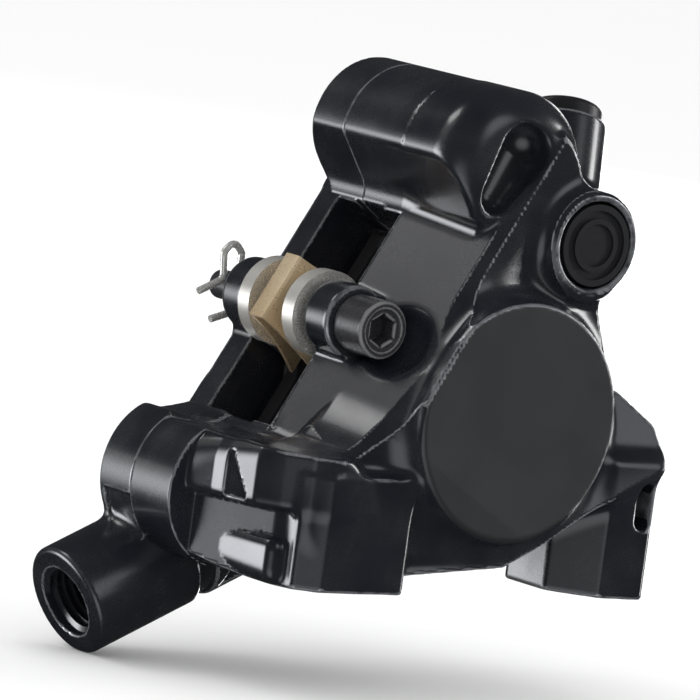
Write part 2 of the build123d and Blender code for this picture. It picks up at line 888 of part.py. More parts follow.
def pad_plate(y_low):
    """A steel backing plate with its ear on the axle."""
    neck = Pos(0, (pad_top_w + axle_w) / 2) * Rectangle(2 * pad_neck_half_width, axle_w - pad_top_w)
    outline = pad_outline(0) + neck + Pos(0, axle_w) * Circle(pad_ear_radius)
    outline = outline - Pos(0, axle_w) * Circle(axle_radius + pad_hole_clearance)
    plate = prism(outline, y_low, y_low + plate_thickness)
    roots = [
        edge
        for edge in plate.edges().filter_by(Axis.Y)
        if abs(outward(edge.center().X, edge.center().Z) - pad_top_w) < lining_inset
        and abs(along_chord(edge.center().X, edge.center().Z)) < pad_neck_half_width + lining_inset
    ]
    return fillet(roots, pad_neck_fillet)


def pad_lining(y_low, side):
    """The friction block on a backing plate, chamfered where the rotor runs in and out."""
    lining = prism(pad_outline(lining_inset), y_low, y_low + lining_thickness)
    rubbing = lining.faces().sort_by(Axis.Y)[-1 if side < 0 else 0]
    straight = rubbing.edges().filter_by(GeomType.LINE)
    ends = [
        edge
        for edge in straight
        if abs(along_chord(edge.center().X, edge.center().Z)) > pad_half_length - 2 * lining_inset
    ]
    return chamfer(ends, lining_chamfer)


def pad_spring():
    """The bent strip between the pads: a web outside the axle and two splayed legs."""
    plate_y = rotor_y - window_half_gap + piston_proud + plate_thickness
    leg_end = rotor_y - plate_y - spring_plate_gap
    sheet = spring_sheet
    bend_w = spring_web_w - sheet
    section = Polygon(
        (-spring_web_half, spring_web_w),
        (spring_web_half, spring_web_w),
        (leg_end, spring_leg_end_w),
        (leg_end - sheet, spring_leg_end_w),
        (spring_web_half - sheet, bend_w),
        (sheet - spring_web_half, bend_w),
        (sheet - leg_end, spring_leg_end_w),
        (-leg_end, spring_leg_end_w),
        align=None,
    )
    across = Plane(origin=(0, rotor_y, piston_height), x_dir=(0, 1, 0), z_dir=(chord_x, 0, chord_z))
    spring = extrude(across * section, amount=spring_half_length, both=True)
    hole_radius = axle_radius + spring_hole_clearance
    return spring - rod(0, axle_w, hole_radius, window_outboard_y, window_inboard_y)


def pad_axle():
    """The threaded pin that carries the pads, with its socket head and drilled stub."""
    head = rod(0, axle_w, axle_head_radius, axle_head_face_y, outboard_ear_y)
    head = chamfer(head.edges().group_by(Axis.Y)[0], axle_head_chamfer)
    stub = rod(0, axle_w, axle_stub_radius, inboard_end_y, axle_end_y)
    stub = chamfer(stub.edges().group_by(Axis.Y)[-1], axle_end_chamfer)
    axle = joined(
        [
            head,
            rod(0, axle_w, axle_thread_radius, outboard_ear_y, window_outboard_y),
            rod(0, axle_w, axle_radius, window_outboard_y, inboard_end_y),
            stub,
        ]
    )
    socket_y = axle_head_face_y + axle_socket_depth
    socket = prism(Pos(0, axle_w) * hexagon(axle_socket_flats), axle_head_face_y - overrun, socket_y)
    hole_radius = split_wire_radius + split_hole_clearance
    hole = Pos(place_x(0, axle_w), split_pin_y, place_z(0, axle_w)) * Cylinder(
        hole_radius, 2 * (axle_stub_radius + overrun)
    )
    return axle - socket - hole


def split_pin():
    """A wire retainer: eye above the axle, one leg through it and one leg beside it."""
    x0 = place_x(0, axle_w)
    z0 = place_z(0, axle_w)
    y0 = split_pin_y
    beside = axle_stub_radius + split_wire_radius + split_gap
    eye_top = split_eye_height + split_eye_radius
    points = [
        (x0 - beside - split_leg_spread, y0, z0 - split_leg_fall / 2),
        (x0 - beside, y0, z0 + split_leg_fall),
        (x0 - 2 * split_eye_radius, y0, z0 + split_eye_height),
        (x0 - split_eye_radius, y0, z0 + eye_top),
        (x0, y0, z0 + split_eye_height),
        (x0, y0, z0 - split_leg_drop),
        (x0 - split_leg_spread, y0, z0 - split_leg_drop - split_leg_fall),
    ]
    path = FilletPolyline(*points, radius=split_bend_radius)
    start = Plane(origin=path @ 0, z_dir=path % 0)
    return sweep(start * Circle(split_wire_radius), path=path)


def bleed_valve_screw():
    """The socket screw whose tip opens and closes the bleed passage."""
    recess_y = valve_face_y + valve_recess_depth
    tip_y = valve_thread_y() + valve_tip_length - valve_fit_clearance
    head_y = recess_y - valve_head_height
    screw = joined(
        [
            valve_rod(valve_head_radius, head_y, recess_y),
            valve_rod(valve_thread_radius, recess_y, valve_thread_y() - valve_tip_length),
            valve_rod(valve_tip_radius, valve_thread_y() - valve_tip_length, tip_y),
        ]
    )
    groove = valve_rod(valve_thread_radius, valve_groove_low(), valve_groove_high())
    groove = groove - valve_rod(valve_groove_radius(), valve_groove_low(), valve_groove_high())
    socket = extrude(
        valve_plane(head_y + valve_socket_depth) * hexagon(valve_socket_flats),
        amount=valve_socket_depth + overrun,
    )
    return screw - groove - socket


def valve_groove_radius():
    """Radius at the floor of the groove that holds the valve screw's O-ring."""
    return valve_thread_radius - 2 * seal_ring_section + seal_ring_squeeze


def valve_groove_low():
    """Outboard side of the valve screw's groove."""
    return valve_ring_y - seal_ring_section


def valve_groove_high():
    """Inboard side of the valve screw's groove."""
    return valve_ring_y + seal_ring_section


def valve_screw_seal():
    """The O-ring in the valve screw's groove."""
    section = seal_ring_section - seal_ring_squeeze
    middle = valve_groove_radius() + section
    return seal_ring((valve_x, valve_ring_y, valve_z), (0, 1, 0), middle, section)


def valve_cap():
    """The ringed rubber cap that plugs the valve screw's recess."""
    bottom_y = valve_face_y + valve_cap_floor
    skirt_y = valve_face_y + valve_recess_depth - valve_head_height - valve_cap_travel_gap
    plug = valve_rod(valve_cap_radius, valve_face_y, skirt_y)
    hollow = valve_rod(valve_cap_radius - valve_cap_skirt, bottom_y, skirt_y + overrun)
    groove = valve_rod(valve_cap_groove_outer, valve_face_y - overrun, valve_face_y + valve_cap_groove_depth)
    groove = groove - valve_rod(
        valve_cap_groove_inner, valve_face_y - overrun, valve_face_y + valve_cap_groove_depth
    )
    dish = valve_rod(valve_cap_dish_radius, valve_face_y - overrun, valve_face_y + valve_cap_dish_depth)
    return plug - hollow - groove - dish


def bleed_nipple():
    """The hollow nipple in the bottom of its boss's recess."""
    hex_prism = extrude(
        nipple_plane(nipple_recess_depth) * hexagon(nipple_hex_flats), amount=nipple_hex_height
    )
    tip_bottom = nipple_recess_depth - nipple_hex_height
    body = joined(
        [
            nipple_rod(nipple_thread_radius, nipple_recess_depth + nipple_thread_length, nipple_recess_depth),
            hex_prism,
            nipple_rod(nipple_tip_radius, tip_bottom, tip_bottom - nipple_tip_length),
        ]
    )
    bore = nipple_rod(
        nipple_bore_radius,
        nipple_recess_depth + nipple_thread_length + overrun,
        tip_bottom - nipple_tip_length - overrun,
    )
    return body - bore


def nipple_cap():
    """The domed rubber cap that stands a little proud of the nipple's boss."""
    inside = nipple_recess_radius - valve_cap_travel_gap
    plug = nipple_rod(inside, nipple_cap_sink, 0)
    crown = nipple_rod(nipple_cap_radius, 0, -nipple_cap_proud)
    rim = crown.edges().filter_by(GeomType.CIRCLE).sort_by(Axis.Z)[-1]
    crown = fillet(rim, nipple_cap_dome)
    hollow = nipple_rod(nipple_cap_inner_radius, nipple_cap_sink + overrun, -nipple_cap_proud / 2)
    return plug + crown - hollow


def build_nodes():
    """Every piece by its name."""
    plate_out = window_outboard_y + piston_proud
    plate_in = window_inboard_y - piston_proud - plate_thickness
    return {
        "outboard_body": outboard_body(),
        "inboard_body": inboard_body(),
        "body_bolts": body_bolts(),
        "crossover_seal": crossover_seal(),
        "outboard_piston": piston(window_outboard_y + piston_proud, -1, outboard_piston_length),
        "inboard_piston": piston(window_inboard_y - piston_proud, 1, inboard_piston_length),
        "outboard_piston_seal": piston_seal(window_outboard_y, -1),
        "inboard_piston_seal": piston_seal(window_inboard_y, 1),
        "outboard_pad_plate": pad_plate(plate_out),
        "inboard_pad_plate": pad_plate(plate_in),
        "outboard_pad_lining": pad_lining(plate_out + plate_thickness, -1),
        "inboard_pad_lining": pad_lining(plate_in - lining_thickness, 1),
        "pad_spring": pad_spring(),
        "pad_axle": pad_axle(),
        "split_pin": split_pin(),
        "bleed_valve_screw": bleed_valve_screw(),
        "valve_screw_seal": valve_screw_seal(),
        "valve_cap": valve_cap(),
        "bleed_nipple": bleed_nipple(),
        "nipple_cap": nipple_cap(),
    }


os.makedirs("parts", exist_ok=True)
for node_name, node_shape in build_nodes().items():
    export_step(node_shape, f"parts/{node_name}.step")
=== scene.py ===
from math import cos, pi, radians, sin

import bpy
import numpy as np
from mathutils import Matrix, Vector


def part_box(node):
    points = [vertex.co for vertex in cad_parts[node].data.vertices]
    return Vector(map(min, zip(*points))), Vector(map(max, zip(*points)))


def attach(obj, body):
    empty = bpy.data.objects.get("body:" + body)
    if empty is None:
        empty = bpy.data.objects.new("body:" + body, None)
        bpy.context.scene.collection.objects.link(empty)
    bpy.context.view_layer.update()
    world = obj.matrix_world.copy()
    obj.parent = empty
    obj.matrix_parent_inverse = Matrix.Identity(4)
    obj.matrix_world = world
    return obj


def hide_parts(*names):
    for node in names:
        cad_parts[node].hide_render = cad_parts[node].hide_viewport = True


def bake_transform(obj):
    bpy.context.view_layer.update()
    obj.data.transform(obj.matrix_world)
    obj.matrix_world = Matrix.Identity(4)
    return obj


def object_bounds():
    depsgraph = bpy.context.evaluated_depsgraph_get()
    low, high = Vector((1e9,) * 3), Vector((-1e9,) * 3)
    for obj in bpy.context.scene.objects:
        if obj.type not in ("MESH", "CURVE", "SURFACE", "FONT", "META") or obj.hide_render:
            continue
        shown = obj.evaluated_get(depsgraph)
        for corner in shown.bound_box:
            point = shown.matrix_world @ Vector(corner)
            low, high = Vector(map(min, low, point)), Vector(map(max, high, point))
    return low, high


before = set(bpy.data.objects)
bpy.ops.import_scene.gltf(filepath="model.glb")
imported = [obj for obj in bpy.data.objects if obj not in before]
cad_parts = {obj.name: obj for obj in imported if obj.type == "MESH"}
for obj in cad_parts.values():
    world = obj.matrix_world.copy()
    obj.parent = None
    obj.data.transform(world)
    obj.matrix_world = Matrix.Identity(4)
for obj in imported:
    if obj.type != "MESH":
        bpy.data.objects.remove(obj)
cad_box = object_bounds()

# Lengths below are in millimetres and meshes are scaled to metres as they are made.
MM = 0.001

# Caliper plane: u along the chord that joins the bridges, w outward from the wheel
PISTON_HEIGHT = 19.9
CHORD_X = cos(radians(60.0))
CHORD_Z = sin(radians(60.0))
PARTING_Y = 17.05
WINDOW_OUT_Y = 9.7
WINDOW_IN_Y = 21.4
WINDOW_HALF = 14.0
ROTOR_Y = 15.55
BRIDGE_U, BRIDGE_W, BRIDGE_R = 22.7, 15.8, 8.5
CHORD_W = 16.2
FLANK_FOOT_U, FLANK_TOP_U = 15.6, 19.4
AXLE_W = 16.83
EAR_R = 4.1
PISTON_BORE_R = 11.05
PAD_SPACE_W, PAD_SPACE_R = 1.5, 16.05
ROTOR_AXIS_W, ROTOR_SPACE_R = -60.0, 71.5


# Distance fields. Each takes arrays of coordinates and gives a distance, negative inside.
class Places:
    """Points of space with their coordinates along the chord and outward."""

    def __init__(self, x, y, z):
        self.x, self.y, self.z = x, y, z
        self.u = x * CHORD_X + (z - PISTON_HEIGHT) * CHORD_Z
        self.w = (z - PISTON_HEIGHT) * CHORD_X - x * CHORD_Z


def disc2(a, b, centre_a, centre_b, radius):
    """A disc in a plane."""
    return np.hypot(a - centre_a, b - centre_b) - radius


def span(v, low, high):
    """The slab between two values."""
    return np.abs(v - (low + high) / 2) - (high - low) / 2


def box2(a, b, low_a, high_a, low_b, high_b):
    """A rectangle in a plane."""
    da = span(a, low_a, high_a)
    db = span(b, low_b, high_b)
    return np.minimum(np.maximum(da, db), 0) + np.hypot(np.maximum(da, 0), np.maximum(db, 0))


def taper2(a, b, start, end):
    """The taut outline round two discs, each given as (a, b, radius)."""
    run = np.array([end[0] - start[0], end[1] - start[1]])
    length = np.hypot(*run)
    run = run / length
    along = (a - start[0]) * run[0] + (b - start[1]) * run[1]
    across = np.abs((a - start[0]) * run[1] - (b - start[1]) * run[0])
    fall = (start[2] - end[2]) / length
    rise = np.sqrt(max(1 - fall * fall, 0))
    share = along * rise - across * fall
    near_start = np.hypot(along, across) - start[2]
    near_end = np.hypot(along - length, across) - end[2]
    beside = across * rise + along * fall - start[2]
    return np.where(share < 0, near_start, np.where(share > length * rise, near_end, beside))


def polygon2(a, b, corners):
    """A polygon in a plane, by its corners in turn."""
    least = np.full(a.shape, 1e9)
    inside = np.zeros(a.shape, dtype=bool)
    for (a0, b0), (a1, b1) in zip(corners, corners[1:] + corners[:1]):
        ea, eb = a1 - a0, b1 - b0
        t = np.clip(((a - a0) * ea + (b - b0) * eb) / (ea * ea + eb * eb), 0, 1)
        least = np.minimum(least, (a - a0 - t * ea) ** 2 + (b - b0 - t * eb) ** 2)
        crosses = (b0 > b) != (b1 > b)
        if eb:
            inside ^= crosses & (a < a0 + (b - b0) * ea / eb)
    return np.sqrt(least) * np.where(inside, -1, 1)


def prism(outline, depth, edge=0.0):
    """An outline carried through a slab, its edges rounded by a radius."""
    outline = outline + edge
    depth = depth + edge
    outer = np.hypot(np.maximum(outline, 0), np.maximum(depth, 0))
    return np.minimum(np.maximum(outline, depth), 0) + outer - edge


def melt(a, b, reach):
    """Union with a fillet."""
    h = np.maximum(reach - np.abs(a - b), 0) / reach
    return np.minimum(a, b) - h * h * reach / 4


def scoop(body, tool, reach):
    """Cut with the cut's own rim rounded."""
    return -melt(-body, tool, reach)


def meet(a, b, reach):
    """Intersection with a rounded edge."""
    return -melt(-a, -b, reach)


def bevelled(body, other, width):
    """Intersection with a flat bevel this wide along the edge."""
    return np.maximum(np.maximum(body, other), (body + other + width) * 0.7071)


def cut(body, tool):
    """A crisp cut."""
    return np.maximum(body, -tool)


def rounded2(a, b, corners, radius):
    """A polygon in a plane with its outer corners rounded, by its corners anticlockwise."""
    spots = [np.array(corner, float) for corner in corners]
    inset = []
    for before, corner, after in zip(spots[-1:] + spots[:-1], spots, spots[1:] + spots[:1]):
        into = (corner - before) / np.hypot(*(corner - before))
        onward = (after - corner) / np.hypot(*(after - corner))
        left = np.array([-into[1] - onward[1], into[0] + onward[0]])
        inset.append(tuple(corner + radius * left / (1 + into @ onward)))
    return polygon2(a, b, inset) - radius


def ease(value, start, end):
    """A share that goes smoothly from 0 at start to 1 at end."""
    share = np.clip((value - start) / (end - start), 0, 1)
    return share * share * (3 - 2 * share)


def plane_spot(u, w, y):
    """The point at this place in the caliper plane and this Y."""
    return (u * CHORD_X - w * CHORD_Z, y, PISTON_HEIGHT + u * CHORD_Z + w * CHORD_X)


def ellipsoid(a, b, c, centre, radii):
    """A ball with three radii."""
    qa, qb, qc = ((v - m) / r for v, m, r in zip((a, b, c), centre, radii))
    k0 = np.sqrt(qa * qa + qb * qb + qc * qc)
    ra, rb, rc = (q / r for q, r in zip((qa, qb, qc), radii))
    k1 = np.sqrt(ra * ra + rb * rb + rc * rc)
    return k0 * (k0 - 1) / np.maximum(k1, 1e-6)


def bar(p, start, end, radius, edge=0.0):
    """A round bar with flat ends from one point to another."""
    start, end = np.array(start, float), np.array(end, float)
    run = end - start
    length = np.linalg.norm(run)
    run = run / length
    dx, dy, dz = p.x - start[0], p.y - start[1], p.z - start[2]
    along = dx * run[0] + dy * run[1] + dz * run[2]
    across = np.sqrt(np.maximum(dx * dx + dy * dy + dz * dz - along * along, 0))
    return prism(across - radius, span(along, 0, length), edge)


def soft_bar(p, start, end, start_r, end_r):
    """A round bar with round ends."""
    start, end = np.array(start, float), np.array(end, float)
    run = end - start
    length = np.linalg.norm(run)
    run = run / length
    dx, dy, dz = p.x - start[0], p.y - start[1], p.z - start[2]
    along = np.clip(dx * run[0] + dy * run[1] + dz * run[2], 0, length)
    gap = np.sqrt(
        (dx - along * run[0]) ** 2 + (dy - along * run[1]) ** 2 + (dz - along * run[2]) ** 2
    )
    return gap - (start_r + (end_r - start_r) * along / length)


# Surfaces from distance fields
# Lattice steps in a block that is first tried as a whole
COARSE = 4


def sample(field, low, high, step):
    """Values of a field on a lattice, worked out in full only near the surface."""
    blocks = np.ceil((np.array(high) - low) / (step * COARSE)).astype(int)
    wide = step * COARSE
    axes = [low[i] + (np.arange(blocks[i]) + 0.5) * wide for i in range(3)]
    centres = np.meshgrid(*axes, indexing="ij")
    rough = field(Places(*[c.ravel() for c in centres])).reshape(blocks)
    near = np.abs(rough) < wide * 1.1 + 0.4
    mask = np.zeros(blocks * COARSE + 1, dtype=bool)
    fine = near.repeat(COARSE, 0).repeat(COARSE, 1).repeat(COARSE, 2)
    for i in (0, 1):
        for j in (0, 1):
            for k in (0, 1):
                n = fine.shape
                mask[i:i + n[0], j:j + n[1], k:k + n[2]] |= fine
    values = np.pad(rough.repeat(COARSE, 0).repeat(COARSE, 1).repeat(COARSE, 2), ((0, 1),) * 3, mode="edge")
    where = np.nonzero(mask)
    points = [low[i] + where[i] * step for i in range(3)]
    values[where] = field(Places(*points))
    return values


def slope(field, points, reach):
    """Unit gradient of a field at points, from four places round each."""
    total = np.zeros_like(points)
    for way in ((1, 1, 1), (1, -1, -1), (-1, 1, -1), (-1, -1, 1)):
        way = np.array(way, float)
        moved = points + way * reach
        total += field(Places(*moved.T))[:, None] * way
    return total / np.maximum(np.linalg.norm(total, axis=1, keepdims=True), 1e-9)


# How far round a point its sharpness is read
EDGE_REACH = 0.32


def sharpness(field, points):
    """How sharp the surface's outer edge is at points, from 0 on smooth stretches to 1."""
    total = -6 * field(Places(*points.T))
    for axis in range(3):
        for way in (-1, 1):
            moved = points.copy()
            moved[:, axis] += way * EDGE_REACH
            total += field(Places(*moved.T))
    return np.clip((total / EDGE_REACH - 0.25) * 1.8, 0, 1)


def contour(field, low, high, step):
    """Vertices, faces, normals and edge sharpness of a field's surface."""
    low = np.array(low, float)
    values = sample(field, low, high, step)
    inside = values < 0
    wide, deep, tall = (n - 1 for n in inside.shape)
    corners = sum(
        inside[i:wide + i, j:deep + j, k:tall + k].astype(np.int8)
        for i in (0, 1) for j in (0, 1) for k in (0, 1)
    )
    active = (corners > 0) & (corners < 8)
    index = np.full(active.shape, -1, dtype=np.int64)
    count = int(active.sum())
    index[active] = np.arange(count)
    cells = np.stack(np.nonzero(active), 1)

    sums = np.zeros((count, 13))
    faces = []
    for axis in range(3):
        before = [slice(None)] * 3
        after = [slice(None)] * 3
        before[axis] = slice(0, -1)
        after[axis] = slice(1, None)
        v0, v1 = values[tuple(before)], values[tuple(after)]
        edges = np.stack(np.nonzero((v0 < 0) != (v1 < 0)), 1)
        side_a, side_b = (axis + 1) % 3, (axis + 2) % 3
        limits = np.array(active.shape)
        kept = (
            (edges[:, side_a] > 0) & (edges[:, side_b] > 0)
            & (edges[:, side_a] < limits[side_a]) & (edges[:, side_b] < limits[side_b])
        )
        edges = edges[kept]
        d0 = v0[tuple(edges.T)]
        d1 = v1[tuple(edges.T)]
        share = d0 / (d0 - d1)
        spots = low + edges * step
        for _ in range(2):
            spots[:, axis] = low[axis] + (edges[:, axis] + share) * step
            found = field(Places(*spots.T))
            turn = np.where(d1 > d0, 1.0, -1.0)
            share = np.clip(share - turn * found / step, 0, 1)
        spots[:, axis] = low[axis] + (edges[:, axis] + share) * step
        normals = slope(field, spots, 0.02)
        quad = []
        for back_a, back_b in ((1, 1), (0, 1), (0, 0), (1, 0)):
            cell = edges.copy()
            cell[:, side_a] -= back_a
            cell[:, side_b] -= back_b
            number = index[tuple(cell.T)]
            quad.append(number)
            local = spots - (low + (cells[number] + 0.5) * step)
            dot = (normals * local).sum(1)
            rows = [
                normals[:, 0] ** 2, normals[:, 1] ** 2, normals[:, 2] ** 2,
                normals[:, 0] * normals[:, 1], normals[:, 0] * normals[:, 2], normals[:, 1] * normals[:, 2],
                normals[:, 0] * dot, normals[:, 1] * dot, normals[:, 2] * dot,
                local[:, 0], local[:, 1], local[:, 2], np.ones(len(dot)),
            ]
            for column, row in enumerate(rows):
                sums[:, column] += np.bincount(number, weights=row, minlength=count)
        quad = np.stack(quad, 1)
        flip = d0 > 0
        quad[flip] = quad[flip][:, ::-1]
        faces.append(quad)
    faces = np.concatenate(faces)

    tally = np.maximum(sums[:, 12], 1)
    mean = sums[:, 9:12] / tally[:, None]
    matrix = np.empty((count, 3, 3))
    for (i, j), column in {(0, 0): 0, (1, 1): 1, (2, 2): 2, (0, 1): 3, (0, 2): 4, (1, 2): 5}.items():
        matrix[:, i, j] = matrix[:, j, i] = sums[:, column]
    aim = sums[:, 6:9] - np.einsum("nij,nj->ni", matrix, mean)
    matrix += np.eye(3) * 0.06 * tally[:, None, None]
    shift = np.linalg.solve(matrix, aim[:, :, None])[:, :, 0]
    place = np.clip(mean + shift, -0.6 * step, 0.6 * step)
    verts = low + (cells + 0.5) * step + place

    first, second, third, fourth = (verts[faces[:, corner]] for corner in range(4))
    face_normals = np.cross(third - first, fourth - second)
    mesh_normals = np.zeros_like(verts)
    for corner in range(4):
        for k in range(3):
            mesh_normals[:, k] += np.bincount(faces[:, corner], weights=face_normals[:, k], minlength=count)
    mesh_normals /= np.maximum(np.linalg.norm(mesh_normals, axis=1, keepdims=True), 1e-12)
    smooth = slope(field, verts, 0.05)
    calm = (smooth * mesh_normals).sum(1) > 0.97
    fault = field(Places(*verts.T))
    move = np.where(calm, np.clip(fault, -0.3 * step, 0.3 * step), 0)
    verts -= smooth * move[:, None]
    normals = np.where(calm[:, None], smooth, mesh_normals)
    return verts, faces, normals, sharpness(field, verts)


def field_mesh(name, field, node, step):
    """A mesh object of a field's surface, kept inside the box of the node it stands for."""
    node_low, node_high = (np.array(corner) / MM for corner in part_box(node))
    verts, faces, normals, sharp = contour(field, node_low - 1.5, node_high + 1.5, step)
    verts = np.clip(verts, node_low, node_high)
    mesh = bpy.data.meshes.new(name)
    mesh.from_pydata((verts * MM).tolist(), [], faces.tolist())
    mesh.polygons.foreach_set("use_smooth", [True] * len(mesh.polygons))
    worn = mesh.attributes.new("worn_edge", "FLOAT", "POINT")
    worn.data.foreach_set("value", sharp.astype(np.float32))
    mesh.update()
    mesh.normals_split_custom_set_from_vertices(normals.tolist())
    thing = bpy.data.objects.new(name, mesh)
    bpy.context.scene.collection.objects.link(thing)
    return thing


# Shapes that the two halves share: the sloping facet runs from the window to the crest, and
# sweeps up at its lower end over a fold
CREST_Y = -4.0
CREST_W = 13.0
FACET_RISE = (CHORD_W - CREST_W) / (WINDOW_OUT_Y - CREST_Y)
CREST_LIFT = 0.45
SWEEP_U, SWEEP_RADIUS, SWEEP_START_RADIUS = 7.0, 13.5, 0.3
FOLD_Y, FOLD_END_Y = 8.4, 3.4
FACE_Y = -7.7


def taut3(a, b, first, second, third):
    """The taut outline round three discs."""
    sides = [taper2(a, b, first, second), taper2(a, b, second, third), taper2(a, b, third, first)]
    middle = polygon2(a, b, [first[:2], second[:2], third[:2]])
    return np.minimum(np.minimum.reduce(sides), middle)


def rim_outline(p):
    """The outline of both halves where they meet."""
    upper, lower = (BRIDGE_U, BRIDGE_W, BRIDGE_R), (-BRIDGE_U, BRIDGE_W, BRIDGE_R)
    return taut3(p.u, p.w, (0, 0, 16.8), upper, lower)


def rim_top(p):
    """The limit of that outline outward: the chord, and the round bridges beyond it."""
    upper, lower = (BRIDGE_U, BRIDGE_W, BRIDGE_R), (-BRIDGE_U, BRIDGE_W, BRIDGE_R)
    return np.minimum(disc2(p.u, p.w, *upper), disc2(p.u, p.w, *lower))


def block_outline(p, side):
    """One bridge and the block that joins it to the end of the window."""
    return taper2(p.u, p.w, (side * BRIDGE_U, BRIDGE_W, BRIDGE_R), (side * 17.0, 13.2, 3.0))


def facet_space(p):
    """The space outside the sloping facet, which sweeps up at its lower end."""
    height = p.w - CHORD_W + FACET_RISE * np.maximum(WINDOW_OUT_Y - p.y, 0)
    height = height - CREST_LIFT * ease(p.y, CREST_Y, FACE_Y)
    growth = SWEEP_RADIUS - SWEEP_START_RADIUS
    radius = SWEEP_START_RADIUS + growth * ease(p.y, FOLD_Y, FOLD_END_Y)
    left = radius - SWEEP_RADIUS - SWEEP_U - p.u
    below = radius - height
    corner = np.hypot(np.maximum(left, 0), np.maximum(below, 0))
    return corner + np.minimum(np.maximum(left, below), 0) - radius


def notch_space(p):
    """The space between the flanks of the two bridges, with its feet rounded."""
    lean = (FLANK_TOP_U - FLANK_FOOT_U) / (BRIDGE_W + BRIDGE_R - CHORD_W)
    flank = np.abs(p.u) - FLANK_FOOT_U - lean * np.maximum(p.w - CHORD_W, 0)
    foot_reach = 1.8 + 4.4 * ease(p.y, 16.0, 19.0) * ease(p.u, 2.0, -2.0)
    return meet(flank * 0.92, facet_space(p), foot_reach)


def inner_spaces(p, window, rotor, bore):
    """The pads' window, the rotor's slot and the piston bore, each within its slab."""
    return [
        prism(box2(p.u, p.w, -WINDOW_HALF, WINDOW_HALF, PAD_SPACE_W, 60.0), window),
        prism(disc2(p.u, p.w, 0, PAD_SPACE_W, PAD_SPACE_R), window),
        prism(disc2(p.u, p.w, 0, ROTOR_AXIS_W, ROTOR_SPACE_R), rotor),
        prism(disc2(p.u, p.w, 0, 0, PISTON_BORE_R), bore),
    ]


# The outboard half
DISC_R = 13.3
FOOT_BORE_X, FOOT_BORE_R, FOOT_BORE_TOP = 17.0, 2.1, 10.5
PIN_SLOT_X, PIN_SLOT_Z, PIN_SLOT_R = (20.73, 20.77), (8.95, 12.25), 1.0
BEVEL, CREST_BEVEL = 0.9, 0.3


def arms(p):
    """Drum and arms."""
    outline = taut3(p.u, p.w, (0, 0, 15.2), (22.2, 12.6, 7.0), (-20.6, 11.6, 4.6))
    body = prism(outline, span(p.y, CREST_Y, 13.0), 0.4)
    valley = ellipsoid(p.u, p.w, p.y, (13.0, 5.0, -7.4), (15.0, 5.5, 4.2))
    return scoop(body, valley, 2.0)


def disc_face(p):
    """The raised disc over the outboard piston."""
    disc = disc2(p.x, p.z, 0, PISTON_HEIGHT, DISC_R)
    return prism(disc, span(p.y, FACE_Y, 0), 0.45)


def shoulder(p):
    """The sloping edge below the disc and the leaning shoulder over the rear foot."""
    profile = rounded2(
        p.x, p.z,
        [
            (-13.0, 1.6), (1.6, 3.35), (22.7, 15.4), (21.6, 19.6), (17.0, 23.2), (0, 22.0), (-13.0, 12.4),
        ],
        1.6,
    )
    above_ridge = (p.z - 3.35) * 0.866 - (p.x - 1.6) * 0.5
    lean = -6.3 + 0.36 * np.maximum(above_ridge, 0)
    return prism(profile, np.maximum(lean - p.y, p.y - 3.0), 0.35)


def front_foot(p):
    """The tall foot beside the hose port."""
    plan = rounded2(
        p.x, p.y, [(-11.8, 6.3), (-25.5, 6.3), (-25.6, -3.7), (-22.9, -5.8), (-11.8, -6.3)], 0.8
    )
    return prism(plan, span(p.z, 0, 12.9), 0.4)


def rear_foot(p):
    """The rear foot under the shoulder."""
    plan = rounded2(p.x, p.y, [(22.3, 6.3), (11.6, 6.3), (11.8, -1.1), (16.3, -5.5), (22.3, -6.3)], 0.9)
    return prism(plan, span(p.z, 0, 15.4), 0.4)


def upper_bridge(p):
    """The round upper bridge, its step and the dome beyond it."""
    ring = prism(disc2(p.u, p.w, BRIDGE_U, BRIDGE_W, BRIDGE_R), span(p.y, 6.1, 20.0), 0.25)
    outline = taper2(p.u, p.w, (BRIDGE_U, BRIDGE_W, 8.4), (23.9, 13.4, 8.4))
    nose = prism(outline, span(p.y, -3.4, 12.0), 4.2)
    return np.minimum(ring, np.maximum(nose, p.y - 9.0))


# The two stacked bulges of the lower bridge: the groove between them, and their edges seen
# from above
BULGE_SPLIT_Z, BULGE_GROOVE_Z = 5.4, 8.3
UPPER_BULGE = [
    (-32.0, 14.0), (-32.0, 10.8), (-30.35, 6.4), (-30.13, 4.6), (-29.2, 0.2), (-27.3, -2.2), (-25.0, -4.6),
    (-22.0, -5.9),
]
LOWER_BULGE = [(-31.0, 14.0), (-31.0, 10.8), (-29.1, 8.8), (-28.3, 1.9), (-27.8, -2.3), (-24.0, -2.3)]
GROOVE_FLOOR = [(-30.4, 14.0), (-30.4, 10.8), (-26.6, -1.0), (-25.0, -3.0)]


def bulge_front(p, edge):
    """The slanting front of a bulge, from its edge seen from above."""
    foot_y = edge[-1][1]
    return rounded2(p.x, p.y, edge + [(-5.0, foot_y), (-5.0, 14.0)], 1.3)


def lower_bridge(p):
    """The round lower bridge and two stacked bulges beyond it."""
    ring = prism(disc2(p.u, p.w, -BRIDGE_U, BRIDGE_W, BRIDGE_R), span(p.y, 10.8, 20.0), 0.25)
    round_end = np.maximum(disc2(p.u, p.w, -BRIDGE_U, BRIDGE_W, BRIDGE_R - 0.3), p.y - 11.5)
    front = bulge_front(p, UPPER_BULGE)
    upper = meet(meet(round_end, front, 1.6), BULGE_GROOVE_Z - p.z, 1.2)
    lower = meet(meet(round_end, bulge_front(p, LOWER_BULGE), 1.6), p.z - BULGE_SPLIT_Z, 1.6)
    middle = np.maximum(round_end, bulge_front(p, GROOVE_FLOOR))
    triangle = rounded2(p.y, p.z, [(4.5, 14.6), (1.4, 9.0), (4.5, 9.0)], 0.3)
    floor_depth = 0.35 + 0.34 * (4.5 - p.y)
    upper = scoop(upper, np.maximum(triangle, -floor_depth - front), 0.45)
    return np.minimum(ring, np.minimum(np.minimum(upper, lower), middle))


